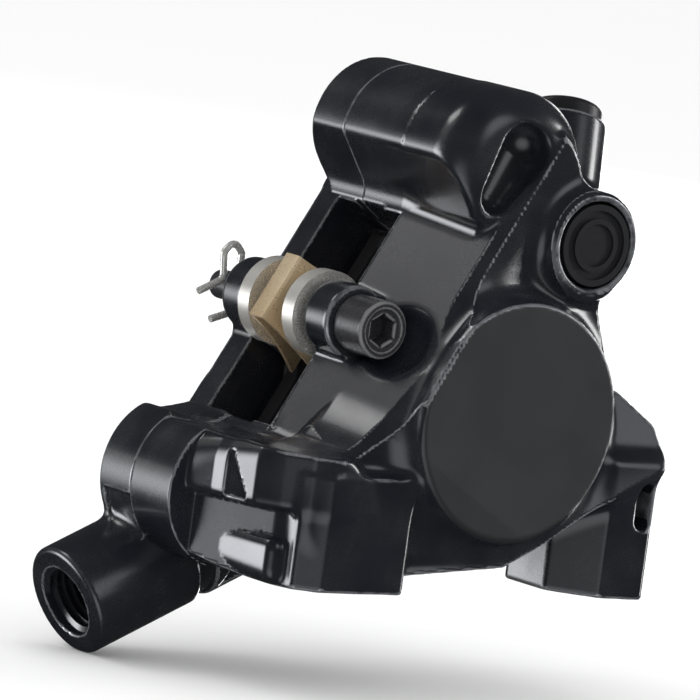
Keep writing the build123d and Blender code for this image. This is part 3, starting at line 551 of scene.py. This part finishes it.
VALVE_X, VALVE_Z, VALVE_FACE_Y = 9.0, 39.7, -5.5
VALVE_BOSS_R, VALVE_RECESS_R, VALVE_FLOOR_Y = 5.95, 4.9, -2.1
NIPPLE_BOSS_R, NIPPLE_BOSS_DEPTH = 4.8, 13.6
NIPPLE_RECESS_R, NIPPLE_RECESS_DEPTH = 3.9, 4.4
NIPPLE_RIM = (12.4, 7.3, 51.7)
NIPPLE_LEAN = (0.257, 0.354, 0.8992)


def nipple_spot(depth):
    """A point on the nipple's axis, this deep below its boss's rim."""
    return tuple(r - depth * d for r, d in zip(NIPPLE_RIM, NIPPLE_LEAN))


def axle_pocket(p):
    """The scooped pocket round the pad axle's head."""
    scooped = ellipsoid(p.u, p.w, p.y, (0.2, 17.4, -0.3), (5.2, 5.4, 5.6))
    straight = prism(disc2(p.u, p.w, 0, AXLE_W, 3.9), span(p.y, -20.0, 5.2))
    return melt(scooped, straight, 0.6)


def outboard_field(p):
    """The outboard half as one field."""
    face_reach = 3.6 + 2.4 * np.clip(-p.u / 10.0, 0, 1)
    body = melt(arms(p), disc_face(p), face_reach)
    feet = melt(front_foot(p), shoulder(p), 1.6)
    body = melt(body, feet, 1.6)
    boss = bevelled(disc2(p.x, p.z, VALVE_X, VALVE_Z, VALVE_BOSS_R), span(p.y, VALVE_FACE_Y, 3.0), 0.4)
    body = melt(body, boss, 2.6)
    bevel = BEVEL + (CREST_BEVEL - BEVEL) * ease(p.y, -5.2, -7.0)
    body = bevelled(body, -facet_space(p), bevel)
    body = melt(body, rear_foot(p), 2.8)
    nipple = bar(p, nipple_spot(NIPPLE_BOSS_DEPTH), NIPPLE_RIM, NIPPLE_BOSS_R, 0.4)
    body = melt(body, nipple, 1.4)

    bridges = np.minimum(upper_bridge(p), lower_bridge(p))
    for side in (-1, 1):
        bridges = np.minimum(bridges, prism(block_outline(p, side), span(p.y, WINDOW_OUT_Y, 20.0)))
    rim = np.maximum(rim_outline(p), np.minimum(p.w - CHORD_W, rim_top(p)))
    bridges = np.minimum(bridges, prism(rim, span(p.y, WINDOW_OUT_Y, 13.0)))
    bridges = meet(bridges, -notch_space(p), 0.5)
    body = melt(body, bridges, 0.9)
    body = cut(body, notch_space(p))

    capsule = soft_bar(p, plane_spot(19.4, 15.5, -2.5), plane_spot(24.8, 15.5, -2.5), 2.2, 3.2)
    body = scoop(body, capsule, 0.9)
    body = scoop(body, axle_pocket(p), 0.8)
    ear = prism(disc2(p.u, p.w, 0, AXLE_W, EAR_R), span(p.y, 5.2, WINDOW_OUT_Y), 0.5)
    body = melt(body, ear, 1.0)

    tools = inner_spaces(p, span(p.y, WINDOW_OUT_Y, 30.0), span(p.y, 13.6, 30.0), span(p.y, 0.2, 30.0))
    tools += [
        prism(disc2(p.u, p.w, 0, AXLE_W, 2.5), span(p.y, -3.0, 30.0)),
        bar(p, nipple_spot(NIPPLE_RECESS_DEPTH), nipple_spot(-2.0), NIPPLE_RECESS_R),
    ]
    for side in (-1, 1):
        foot_bore = disc2(p.x, p.y, side * FOOT_BORE_X, 0, FOOT_BORE_R)
        tools.append(prism(foot_bore, span(p.z, -2.0, FOOT_BORE_TOP)))
        tools.append(prism(disc2(p.u, p.w, side * BRIDGE_U, BRIDGE_W, 3.0), span(p.y, 8.5, 30.0)))
    for tool in tools:
        body = cut(body, tool)
    recess = prism(disc2(p.x, p.z, VALVE_X, VALVE_Z, VALVE_RECESS_R), span(p.y, -9.0, VALVE_FLOOR_Y))
    body = scoop(body, recess, 0.5)
    slot = box2(p.x, p.z, *PIN_SLOT_X, *PIN_SLOT_Z) - PIN_SLOT_R
    body = scoop(body, prism(slot, span(p.y, -20.0, 20.0)), 0.5)
    body = np.maximum(body, p.y - PARTING_Y)
    return np.maximum(body, -p.z)


# The inboard half
PLATE_Y, DRUM_Y, DRUM_R = 25.0, 31.0, 13.4
BOLT_HEAD_R, BOLT_BORE_R = 5.05, 3.15
PORT_FACE = (-36.9, 21.6, -6.65)
PORT_AXIS = (cos(radians(25.3)), 0.0, sin(radians(25.3)))
PORT_R = 6.4
NECK_AT, NECK_HALF, NECK_DEPTH = 15.3, 1.1, 0.55


def port_spot(depth):
    """A point on the hose port's axis, this deep behind its face."""
    return tuple(f + depth * a for f, a in zip(PORT_FACE, PORT_AXIS))


def port_barrel(p):
    """The hose port's barrel with a shallow round groove at its neck."""
    dx, dy, dz = p.x - PORT_FACE[0], p.y - PORT_FACE[1], p.z - PORT_FACE[2]
    along = dx * PORT_AXIS[0] + dz * PORT_AXIS[2]
    across = np.sqrt(np.maximum(dx * dx + dy * dy + dz * dz - along * along, 0))
    barrel = prism(across - PORT_R, span(along, 0, 22.0), 0.7)
    groove = np.maximum(np.abs(along - NECK_AT) - NECK_HALF, PORT_R - NECK_DEPTH - across)
    return scoop(barrel, groove, 0.4)


def inboard_field(p):
    """The inboard half as one field."""
    notch = notch_space(p)
    chamfer = np.maximum(p.y - 22.9, 0) * 0.95
    outline = rim_outline(p)
    plate = prism(outline + chamfer, span(p.y, 18.1, PLATE_Y), 0.3)
    plate = np.maximum(plate, np.minimum(p.w - CHORD_W, rim_top(p) + chamfer))
    plate = meet(plate, -notch, 0.4)
    drum_side = disc2(p.u, p.w, 0, 0, DRUM_R) + np.maximum(p.y - 28.4, 0)
    drum = prism(drum_side, span(p.y, 20.0, DRUM_Y), 0.6)
    body = melt(plate, drum, 2.4)
    for side in (-1, 1):
        bridge = prism(disc2(p.u, p.w, side * BRIDGE_U, BRIDGE_W, BRIDGE_R), span(p.y, 14.0, 22.9))
        block = prism(block_outline(p, side), span(p.y, 14.0, 22.0))
        body = np.minimum(body, meet(np.minimum(bridge, block), -notch, 0.4))
    skin = disc2(p.u, p.w, -BRIDGE_U, BRIDGE_W, BRIDGE_R)
    relief = np.maximum(np.maximum(span(p.y, 14.0, 22.2), p.z - 6.4), -0.4 - skin)
    body = np.where(p.u < -18.0, scoop(body, relief, 0.2), body)
    ear = prism(disc2(p.u, p.w, 0, AXLE_W, EAR_R), span(p.y, WINDOW_IN_Y, PLATE_Y), 0.35)
    body = melt(body, ear, 1.4)
    barrel = port_barrel(p)
    body = melt(body, barrel, 1.8)
    branch = soft_bar(p, port_spot(12.0), (0, 26.5, 9.7), 2.5, 2.5)
    body = melt(body, branch, 1.5)
    cross = soft_bar(p, (-2.2, 23.2, 41.2), (-1.3, 28.5, 30.0), 2.3, 2.3)
    body = melt(body, cross, 1.2)
    body = np.maximum(body, np.minimum(PARTING_Y - p.y, barrel))

    tools = inner_spaces(p, span(p.y, 0.0, WINDOW_IN_Y), span(p.y, 0.0, 17.5), span(p.y, 0.0, 29.0))
    tools += [
        prism(disc2(p.u, p.w, 0, AXLE_W, 2.2), span(p.y, 15.0, 40.0)),
        bar(p, port_spot(-1.0), port_spot(12.4), THREAD_ROOT_R),
    ]
    for side in (-1, 1):
        tools.append(prism(disc2(p.u, p.w, side * BRIDGE_U, BRIDGE_W, BOLT_HEAD_R), span(p.y, 22.4, 40.0)))
        tools.append(prism(disc2(p.u, p.w, side * BRIDGE_U, BRIDGE_W, BOLT_BORE_R), span(p.y, 0.0, 40.0)))
    for tool in tools:
        body = cut(body, tool)
    return body


# The pad axle
def hexagon2(a, b, centre_a, centre_b, half_flats):
    """A hexagon in a plane."""
    da, db = a - centre_a, b - centre_b
    faces = [np.abs(da * cos(radians(turn)) + db * sin(radians(turn))) for turn in (0, 60, 120)]
    return np.maximum.reduce(faces) - half_flats


def axle_field(p):
    """The threaded pin with its socket head and drilled stub."""
    parts = [
        prism(disc2(p.u, p.w, 0, AXLE_W, 3.25), span(p.y, 0.1, 5.15), 0.45),
        prism(disc2(p.u, p.w, 0, AXLE_W, 2.5), span(p.y, 4.0, 9.7), 0.2),
        prism(disc2(p.u, p.w, 0, AXLE_W, 2.1), span(p.y, 9.0, 25.0), 0.2),
        prism(disc2(p.u, p.w, 0, AXLE_W, 1.65), span(p.y, 24.0, 31.0), 0.35),
    ]
    axle = np.minimum.reduce(parts)
    dish = prism(disc2(p.u, p.w, 0, AXLE_W, 2.35), span(p.y, -2.0, 0.35))
    axle = scoop(axle, dish, 0.25)
    socket = prism(hexagon2(p.u, p.w, 0, AXLE_W, 1.55), span(p.y, -2.0, 2.7))
    axle = scoop(axle, socket, 0.35)
    x, _, z = plane_spot(0, AXLE_W, 0)
    return cut(axle, prism(disc2(p.x, p.y, x, 27.6, 0.5), span(p.z, z - 4, z + 4)))


# Thread of the hose port and the pad return spring
THREAD_ROOT_R, THREAD_CREST_R, THREAD_PITCH, THREAD_DEPTH = 4.15, 3.6, 1.0, 11.5
THREAD_ROOT_HALF, THREAD_CREST_HALF, THREAD_START = 0.44, 0.07, 0.6
STEPS_PER_TURN = 72


def swept_mesh(name, rings):
    """A closed tube through rings of points, each ring a list of the same length."""
    sides = len(rings[0])
    faces = [tuple(range(sides - 1, -1, -1))]
    for i in range(len(rings) - 1):
        for j in range(sides):
            k = (j + 1) % sides
            faces.append((i * sides + j, i * sides + k, (i + 1) * sides + k, (i + 1) * sides + j))
    last = (len(rings) - 1) * sides
    faces.append(tuple(range(last, last + sides)))
    mesh = bpy.data.meshes.new(name)
    mesh.from_pydata([Vector(v) * MM for ring in rings for v in ring], [], faces)
    mesh.update()
    thing = bpy.data.objects.new(name, mesh)
    bpy.context.scene.collection.objects.link(thing)
    return thing


def port_thread():
    """The screw thread inside the hose port, one ridge wound round its axis."""
    axis = np.array(PORT_AXIS)
    side = np.array([0.0, 1.0, 0.0])
    up = np.cross(axis, side)
    buried_r = THREAD_ROOT_R + 0.1
    profile = [
        (buried_r, -THREAD_ROOT_HALF), (THREAD_CREST_R, -THREAD_CREST_HALF),
        (THREAD_CREST_R, THREAD_CREST_HALF), (buried_r, THREAD_ROOT_HALF),
    ]
    turns = THREAD_DEPTH / THREAD_PITCH
    steps = int(turns * STEPS_PER_TURN)
    rings = []
    for i in range(steps + 1):
        angle = 2 * pi * i / STEPS_PER_TURN
        out = side * cos(angle) + up * sin(angle)
        middle = np.array(port_spot(THREAD_START)) + axis * (THREAD_PITCH * i / STEPS_PER_TURN)
        rings.append([middle + out * radius + axis * shift for radius, shift in profile])
    return swept_mesh("port_thread", rings)


SPRING_TOP_W, SPRING_END_W = 21.5, 11.2
SPRING_WEB_HALF, SPRING_SHEET = 1.3, 0.45
SPRING_LEG_Y, SPRING_BEND_Y, SPRING_BEND_W = 3.03, 1.2, 17.0
WEB_HALF_LENGTH, LEG_FLARE = 4.05, 1.7


def spring_side(w):
    """How far a leg stands from the middle, and half its length, at this height."""
    fall = np.clip((SPRING_TOP_W - w) / (SPRING_TOP_W - SPRING_END_W), 0, 1)
    reach = SPRING_WEB_HALF + (SPRING_LEG_Y - SPRING_WEB_HALF) * fall ** 1.7
    half = WEB_HALF_LENGTH + LEG_FLARE * fall ** 1.8
    return reach, half


def spring_leg(name, way):
    """Half of the return spring: half its web and one leg, which bows out to its pad."""
    heights = np.linspace(SPRING_TOP_W - 0.35, SPRING_END_W, 22)
    spine = [(0.0, SPRING_TOP_W, WEB_HALF_LENGTH), (SPRING_WEB_HALF * 0.5, SPRING_TOP_W, WEB_HALF_LENGTH)]
    spine.append((SPRING_WEB_HALF - 0.1, SPRING_TOP_W - 0.03, WEB_HALF_LENGTH))
    for w in heights:
        reach, half = spring_side(w)
        spine.append((reach, w, half))
    rings = []
    for i, (reach, w, half) in enumerate(spine):
        before, after = spine[max(i - 1, 0)], spine[min(i + 1, len(spine) - 1)]
        run = np.array([after[0] - before[0], after[1] - before[1]])
        run = run / np.hypot(*run)
        inner = (reach + run[1] * SPRING_SHEET, w - run[0] * SPRING_SHEET)
        inner = (max(inner[0], 0.0), inner[1])
        ring = []
        for u, (y, height) in ((half, (reach, w)), (-half, (reach, w)), (-half, inner), (half, inner)):
            ring.append(plane_spot(u, height, ROTOR_Y + way * y))
        rings.append(ring if way > 0 else ring[::-1])
    return swept_mesh(name, rings)


# Finishes
class Finish:
    """A material with its shader, and short ways to feed it."""

    def __init__(self, name, colour, rough, metal, ior=1.5, coat=0.0, coat_rough=0.1):
        self.material = bpy.data.materials.new(name)
        self.material.use_nodes = True
        self.tree = self.material.node_tree
        self.shader = self.tree.nodes["Principled BSDF"]
        self.shader.inputs["Base Color"].default_value = (*colour, 1)
        self.shader.inputs["Roughness"].default_value = rough
        self.shader.inputs["Metallic"].default_value = metal
        self.shader.inputs["IOR"].default_value = ior
        self.shader.inputs["Coat Weight"].default_value = coat
        self.shader.inputs["Coat Roughness"].default_value = coat_rough
        self.place = self.tree.nodes.new("ShaderNodeTexCoord").outputs["Object"]

    def node(self, kind, **settings):
        """A node of this kind with its settings."""
        node = self.tree.nodes.new(kind)
        for key, value in settings.items():
            setattr(node, key, value)
        return node

    def link(self, start, end):
        """Joins two sockets."""
        self.tree.links.new(start, end)

    def noise(self, per_mm, detail=3.0, stretch=(1, 1, 1)):
        """Noise with this many cells to a millimetre."""
        spread = self.node("ShaderNodeMapping")
        spread.inputs["Scale"].default_value = stretch
        self.link(self.place, spread.inputs["Vector"])
        noise = self.node("ShaderNodeTexNoise")
        noise.inputs["Scale"].default_value = per_mm / MM
        noise.inputs["Detail"].default_value = detail
        self.link(spread.outputs["Vector"], noise.inputs["Vector"])
        return noise.outputs["Fac"]

    def ramp(self, source, low, high, start, end):
        """A value that goes from start to end as source goes from low to high."""
        node = self.node("ShaderNodeMapRange")
        for key, value in (("From Min", low), ("From Max", high), ("To Min", start), ("To Max", end)):
            node.inputs[key].default_value = value
        self.link(source, node.inputs["Value"])
        return node.outputs["Result"]

    def blend(self, share, start, end):
        """A colour between two, each a colour or a socket."""
        node = self.node("ShaderNodeMix", data_type="RGBA")
        self.link(share, node.inputs["Factor"])
        for key, value in (("A", start), ("B", end)):
            socket = [s for s in node.inputs if s.name == key and s.type == "RGBA"][0]
            if isinstance(value, tuple):
                socket.default_value = (*value, 1)
            else:
                self.link(value, socket)
        return [s for s in node.outputs if s.type == "RGBA"][0]

    def sum(self, first, second, way="ADD"):
        """Two values added, or joined in another way."""
        node = self.node("ShaderNodeMath", operation=way)
        for socket, value in zip(node.inputs, (first, second)):
            if isinstance(value, (int, float)):
                socket.default_value = value
            else:
                self.link(value, socket)
        return node.outputs["Value"]

    def bump(self, height, depth_mm, strength=1.0):
        """Raises the surface by a height map."""
        node = self.node("ShaderNodeBump")
        node.inputs["Strength"].default_value = strength
        node.inputs["Distance"].default_value = depth_mm * MM
        self.link(height, node.inputs["Height"])
        self.link(node.outputs["Normal"], self.shader.inputs["Normal"])

    def feed(self, name, source):
        """Feeds one of the shader's sockets."""
        self.link(source, self.shader.inputs[name])


def worn_anodised():
    """Glossy blue-black anodised forging, with bare metal along its machined edges."""
    finish = Finish("body_anodised", (0.010, 0.011, 0.015), 0.24, 0.0, ior=1.75, coat=0.25, coat_rough=0.08)
    grain = finish.noise(9.0, 4.0)
    cloud = finish.noise(0.16, 3.0)
    worn = finish.node("ShaderNodeAttribute", attribute_name="worn_edge").outputs["Fac"]
    worn = finish.ramp(worn, 0.45, 0.95, 0.0, 1.0)
    patchy = finish.ramp(finish.noise(0.5, 3.0), 0.35, 0.6, 0.15, 1.0)
    bare = finish.sum(worn, patchy, "MULTIPLY")
    split = finish.node("ShaderNodeSeparateXYZ")
    finish.link(finish.place, split.inputs["Vector"])
    face = finish.ramp(split.outputs["Y"], (FACE_Y + 0.12) * MM, (FACE_Y + 0.03) * MM, 0.0, 1.0)
    cloudy = finish.ramp(cloud, 0.35, 0.65, 0.0, 1.0)
    tone = finish.blend(cloudy, (0.008, 0.009, 0.013), (0.014, 0.015, 0.020))
    tone = finish.blend(face, tone, (0.014, 0.015, 0.018))
    tone = finish.blend(bare, tone, (0.42, 0.43, 0.46))
    finish.feed("Base Color", tone)
    finish.feed("Metallic", finish.sum(bare, 0.85, "MULTIPLY"))
    rough = finish.sum(finish.ramp(cloud, 0.3, 0.7, 0.20, 0.29), finish.sum(face, 0.22, "MULTIPLY"))
    finish.feed("Roughness", finish.sum(rough, finish.ramp(grain, 0.3, 0.7, -0.03, 0.03)))
    finish.bump(grain, 0.004)
    return finish.material


def brushed_steel(name, colour, rough, metal):
    """Steel with fine marks and uneven tone."""
    finish = Finish(name, colour, rough, metal)
    marks = finish.noise(3.0, 4.0)
    dull = tuple(0.85 * c for c in colour)
    cloud = finish.ramp(finish.noise(0.35, 4.0), 0.35, 0.7, 0.0, 1.0)
    worn = finish.node("ShaderNodeAttribute", attribute_name="worn_edge").outputs["Fac"]
    worn = finish.ramp(worn, 0.5, 1.0, 0.0, 0.3)
    tone = finish.blend(cloud, colour, dull)
    finish.feed("Base Color", finish.blend(worn, tone, (0.45, 0.45, 0.45)))
    finish.feed("Roughness", finish.ramp(marks, 0.3, 0.7, rough - 0.07, rough + 0.12))
    finish.bump(marks, 0.004)
    return finish.material


def sheet_brass():
    """Gold toned rolled sheet with faint marks."""
    finish = Finish("spring_brass", (0.90, 0.72, 0.47), 0.27, 0.7)
    marks = finish.noise(6.0, 4.0, (0.6, 2.0, 0.6))
    cloud = finish.ramp(finish.noise(0.2, 2.0), 0.3, 0.7, 0.0, 1.0)
    finish.feed("Base Color", finish.blend(cloud, (0.95, 0.78, 0.53), (0.82, 0.62, 0.38)))
    finish.feed("Roughness", finish.ramp(marks, 0.3, 0.7, 0.26, 0.36))
    finish.bump(marks, 0.003)
    return finish.material


# How far round the axle the pad plates keep their bare steel colour; beyond it they are painted dark as the
# shade inside the window
PAD_UNSHADED_R = 4.8


def pad_plate_steel():
    """Punched steel, bare round the tabs, with painted shade making it dark below them inside the window.
    """
    finish = Finish("pad_steel", (0.72, 0.71, 0.68), 0.25, 0.75)
    x, _, z = plane_spot(0, AXLE_W, 0)
    moved = finish.node("ShaderNodeVectorMath", operation="MULTIPLY_ADD")
    moved.inputs[1].default_value = (1, 0, 1)
    moved.inputs[2].default_value = (-x * MM, 0, -z * MM)
    finish.link(finish.place, moved.inputs[0])
    length = finish.node("ShaderNodeVectorMath", operation="LENGTH")
    finish.link(moved.outputs["Vector"], length.inputs[0])
    # Painted shade: below the tabs the plate is made dark, duller and not metallic, standing in for the
    # shade inside the window
    painted_shade = finish.ramp(length.outputs["Value"], PAD_UNSHADED_R * MM, (PAD_UNSHADED_R + 0.4) * MM, 0.0, 1.0)
    marks = finish.noise(6.0, 4.0)
    bare = finish.blend(finish.ramp(marks, 0.35, 0.65, 0.0, 1.0), (0.84, 0.82, 0.77), (0.74, 0.72, 0.67))
    finish.feed("Base Color", finish.blend(painted_shade, bare, (0.020, 0.020, 0.022)))
    finish.feed("Metallic", finish.sum(0.75, finish.sum(painted_shade, 0.75, "MULTIPLY"), "SUBTRACT"))
    rough = finish.ramp(marks, 0.3, 0.7, 0.22, 0.32)
    finish.feed("Roughness", finish.sum(rough, finish.sum(painted_shade, 0.2, "MULTIPLY")))
    finish.bump(marks, 0.003)
    return finish.material


def granular_lining():
    """Matt friction material with metal flecks."""
    finish = Finish("friction_lining", (0.06, 0.055, 0.05), 0.85, 0.0)
    fleck = finish.ramp(finish.noise(2.2, 3.0), 0.62, 0.70, 0.0, 1.0)
    grain = finish.noise(5.0, 5.0)
    finish.feed("Base Color", finish.blend(fleck, (0.045, 0.042, 0.04), (0.30, 0.25, 0.18)))
    finish.feed("Roughness", finish.ramp(grain, 0.3, 0.7, 0.7, 0.95))
    finish.bump(grain, 0.05)
    return finish.material


def moulded(name, colour, rough, grain_mm=6.0, depth=0.008):
    """Rubber or resin with a fine moulded grain."""
    finish = Finish(name, colour, rough, 0.0)
    grain = finish.noise(grain_mm, 4.0)
    paler = tuple(1.6 * c for c in colour)
    finish.feed("Base Color", finish.blend(finish.noise(0.4, 3.0), colour, paler))
    finish.feed("Roughness", finish.ramp(grain, 0.3, 0.7, rough - 0.06, rough + 0.08))
    finish.bump(grain, depth)
    return finish.material


body_finish = worn_anodised()
steel_finish = brushed_steel("bright_steel", (0.80, 0.79, 0.76), 0.22, 0.65)
pad_finish = pad_plate_steel()
black_finish = brushed_steel("black_steel", (0.030, 0.030, 0.034), 0.28, 0.0)
brass_finish = sheet_brass()
lining_finish = granular_lining()
resin_finish = moulded("piston_resin", (0.10, 0.09, 0.08), 0.5)
seal_finish = moulded("seal_rubber", (0.018, 0.018, 0.018), 0.6)
cap_finish = moulded("cap_rubber", (0.009, 0.009, 0.011), 0.36)

NODE_FINISHES = {
    "body_bolts": black_finish,
    "crossover_seal": seal_finish,
    "outboard_piston": resin_finish,
    "inboard_piston": resin_finish,
    "outboard_piston_seal": seal_finish,
    "inboard_piston_seal": seal_finish,
    "outboard_pad_plate": pad_finish,
    "inboard_pad_plate": pad_finish,
    "outboard_pad_lining": lining_finish,
    "inboard_pad_lining": lining_finish,
    "pad_spring": brass_finish,
    "pad_axle": black_finish,
    "split_pin": steel_finish,
    "bleed_valve_screw": steel_finish,
    "valve_screw_seal": seal_finish,
    "valve_cap": cap_finish,
    "bleed_nipple": steel_finish,
    "nipple_cap": cap_finish,
    "outboard_body": body_finish,
    "inboard_body": body_finish,
}
for node_name, node_finish in NODE_FINISHES.items():
    for material_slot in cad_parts[node_name].material_slots:
        material_slot.material = node_finish

# Lattice steps of the fields, in millimetres
STEP = 0.34
FINE_STEP = 0.16
FIELD_PIECES = [
    ("outboard_shell", outboard_field, "outboard_body", STEP, body_finish, "body_anodised"),
    ("inboard_shell", inboard_field, "inboard_body", STEP, body_finish, "body_anodised"),
    ("axle", axle_field, "pad_axle", FINE_STEP, black_finish, "black_steel"),
]
for name, field, node_name, step, finish, finish_slot in FIELD_PIECES:
    shell = field_mesh(name, field, node_name, step)
    shell.data.materials.append(finish)
    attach(shell, "caliper")
    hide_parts(node_name)

thread = port_thread()
thread.data.materials.append(body_finish)
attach(thread, "caliper")

for way, pad_body in ((-1, "outboard_pad"), (1, "inboard_pad")):
    leg = spring_leg("spring_leg_" + pad_body.split("_")[0], way)
    leg.data.materials.append(brass_finish)
    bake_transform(leg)
    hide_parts("pad_spring")


# Camera, lights and floor
def aim(thing, spot, target, up=(0, 0, 1)):
    """Places a lamp or camera and turns it to a target."""
    spot, target = Vector(spot), Vector(target)
    back = (spot - target).normalized()
    right = Vector(up).cross(back).normalized()
    above = back.cross(right)
    turn = Matrix((right, above, back)).transposed()
    thing.matrix_world = Matrix.Translation(spot) @ turn.to_4x4()


# The photograph's view: its right and up, the point at its middle, and its scale
VIEW_RIGHT = Vector((0.7931, -0.5943, 0.1330))
VIEW_UP = Vector((-0.0340, 0.1749, 0.9840))
VIEW_TARGET = Vector((-9.45, 12.25, 24.19))
VIEW_DISTANCE = 900.0
PIXELS_PER_MM = 9.0
IMAGE_SIDE = 700
SENSOR = 36.0


def make_camera():
    """The camera at the photograph's angle."""
    data = bpy.data.cameras.new("camera")
    data.sensor_width = SENSOR
    data.sensor_fit = "HORIZONTAL"
    data.lens = PIXELS_PER_MM * VIEW_DISTANCE * SENSOR / IMAGE_SIDE
    data.clip_start = 0.01
    data.clip_end = 20
    camera = bpy.data.objects.new("camera", data)
    bpy.context.scene.collection.objects.link(camera)
    back = VIEW_RIGHT.cross(VIEW_UP).normalized()
    above = back.cross(VIEW_RIGHT).normalized()
    turn = Matrix((VIEW_RIGHT.normalized(), above, back)).transposed()
    camera.matrix_world = Matrix.Translation((VIEW_TARGET + back * VIEW_DISTANCE) * MM) @ turn.to_4x4()
    bpy.context.scene.camera = camera


def soft_box(name, way, size, power):
    """A soft box in this direction from the caliper, aimed at it."""
    data = bpy.data.lights.new(name, "AREA")
    data.shape = "RECTANGLE"
    data.size, data.size_y = size[0] * MM, size[1] * MM
    data.energy = power
    lamp = bpy.data.objects.new(name, data)
    bpy.context.scene.collection.objects.link(lamp)
    centre = Vector((-5, 10, 24))
    aim(lamp, (centre + Vector(way).normalized() * LAMP_DISTANCE) * MM, centre * MM)


# Half the floor's width, in metres
FLOOR = 3.0


def make_floor():
    """A pale floor under the caliper."""
    floor_z = cad_box[0][2]
    mesh = bpy.data.meshes.new("floor")
    corners = [(-FLOOR, -FLOOR), (FLOOR, -FLOOR), (FLOOR, FLOOR), (-FLOOR, FLOOR)]
    mesh.from_pydata([(x, y, floor_z) for x, y in corners], [], [(0, 1, 2, 3)])
    floor = bpy.data.objects.new("floor", mesh)
    bpy.context.scene.collection.objects.link(floor)
    paper = Finish("floor_paper", (0.95, 0.95, 0.95), 0.9, 0.0)
    floor.data.materials.append(paper.material)
    floor.visible_glossy = False


# Soft panels that the caliper mirrors: where each lies, half its width in degrees, its
# soft edge in degrees and its brightness
PANELS = [
    ((0.30, -0.86, 0.41), 5.0, 14.0, 1.1),
    ((-0.51, -0.61, -0.49), 6.0, 26.0, 0.9),
    ((-0.80, 0.58, -0.10), 2.0, 19.0, 7.0),
]
PALE_STRENGTH, DIM_STRENGTH = 1.05, 0.03


def make_surround():
    """A pale surround, which gloss sees as dark with a few soft panels."""
    world = bpy.data.worlds.new("studio")
    bpy.context.scene.world = world
    world.use_nodes = True
    nodes, links = world.node_tree.nodes, world.node_tree.links
    nodes.clear()
    path = nodes.new("ShaderNodeLightPath")
    way = nodes.new("ShaderNodeTexCoord").outputs["Generated"]
    pale = nodes.new("ShaderNodeBackground")
    pale.inputs["Color"].default_value = (1, 1, 1, 1)
    pale.inputs["Strength"].default_value = PALE_STRENGTH
    dim = nodes.new("ShaderNodeBackground")
    dim.inputs["Color"].default_value = (0.94, 0.96, 1.0, 1)
    total = None
    for centre, half, edge, strength in PANELS:
        dot = nodes.new("ShaderNodeVectorMath")
        dot.operation = "DOT_PRODUCT"
        dot.inputs[1].default_value = Vector(centre).normalized()
        links.new(way, dot.inputs[0])
        ramp = nodes.new("ShaderNodeMapRange")
        ramp.interpolation_type = "SMOOTHSTEP"
        ramp.inputs["From Min"].default_value = cos(radians(half + edge))
        ramp.inputs["From Max"].default_value = cos(radians(half))
        ramp.inputs["To Max"].default_value = strength
        links.new(dot.outputs["Value"], ramp.inputs["Value"])
        add = nodes.new("ShaderNodeMath")
        add.inputs[1].default_value = DIM_STRENGTH
        if total:
            links.new(total, add.inputs[1])
        links.new(ramp.outputs["Result"], add.inputs[0])
        total = add.outputs["Value"]
    links.new(total, dim.inputs["Strength"])
    mix = nodes.new("ShaderNodeMixShader")
    out = nodes.new("ShaderNodeOutputWorld")
    links.new(path.outputs["Is Glossy Ray"], mix.inputs[0])
    links.new(pale.outputs[0], mix.inputs[1])
    links.new(dim.outputs[0], mix.inputs[2])
    links.new(mix.outputs[0], out.inputs["Surface"])


# Soft boxes: where each lies from the caliper, its size in millimetres and its watts
LAMPS = {
    "left_fill": ((-0.62, 0.78, -0.05), (260, 300), 0.16),
    "right_back_box": ((0.80, 0.58, -0.08), (140, 420), 1.3),
    "right_box": ((0.93, -0.35, 0.09), (150, 420), 1.5),
    "top_box": ((-0.45, 0.49, 0.75), (200, 200), 0.40),
    "top_fill": ((-0.66, 0.44, 0.61), (320, 320), 0.12),
}
LAMP_DISTANCE = 640

bpy.context.scene.view_settings.view_transform = "Standard"
make_camera()
make_floor()
make_surround()
for name, (way, size, power) in LAMPS.items():
    soft_box(name, way, size, power)
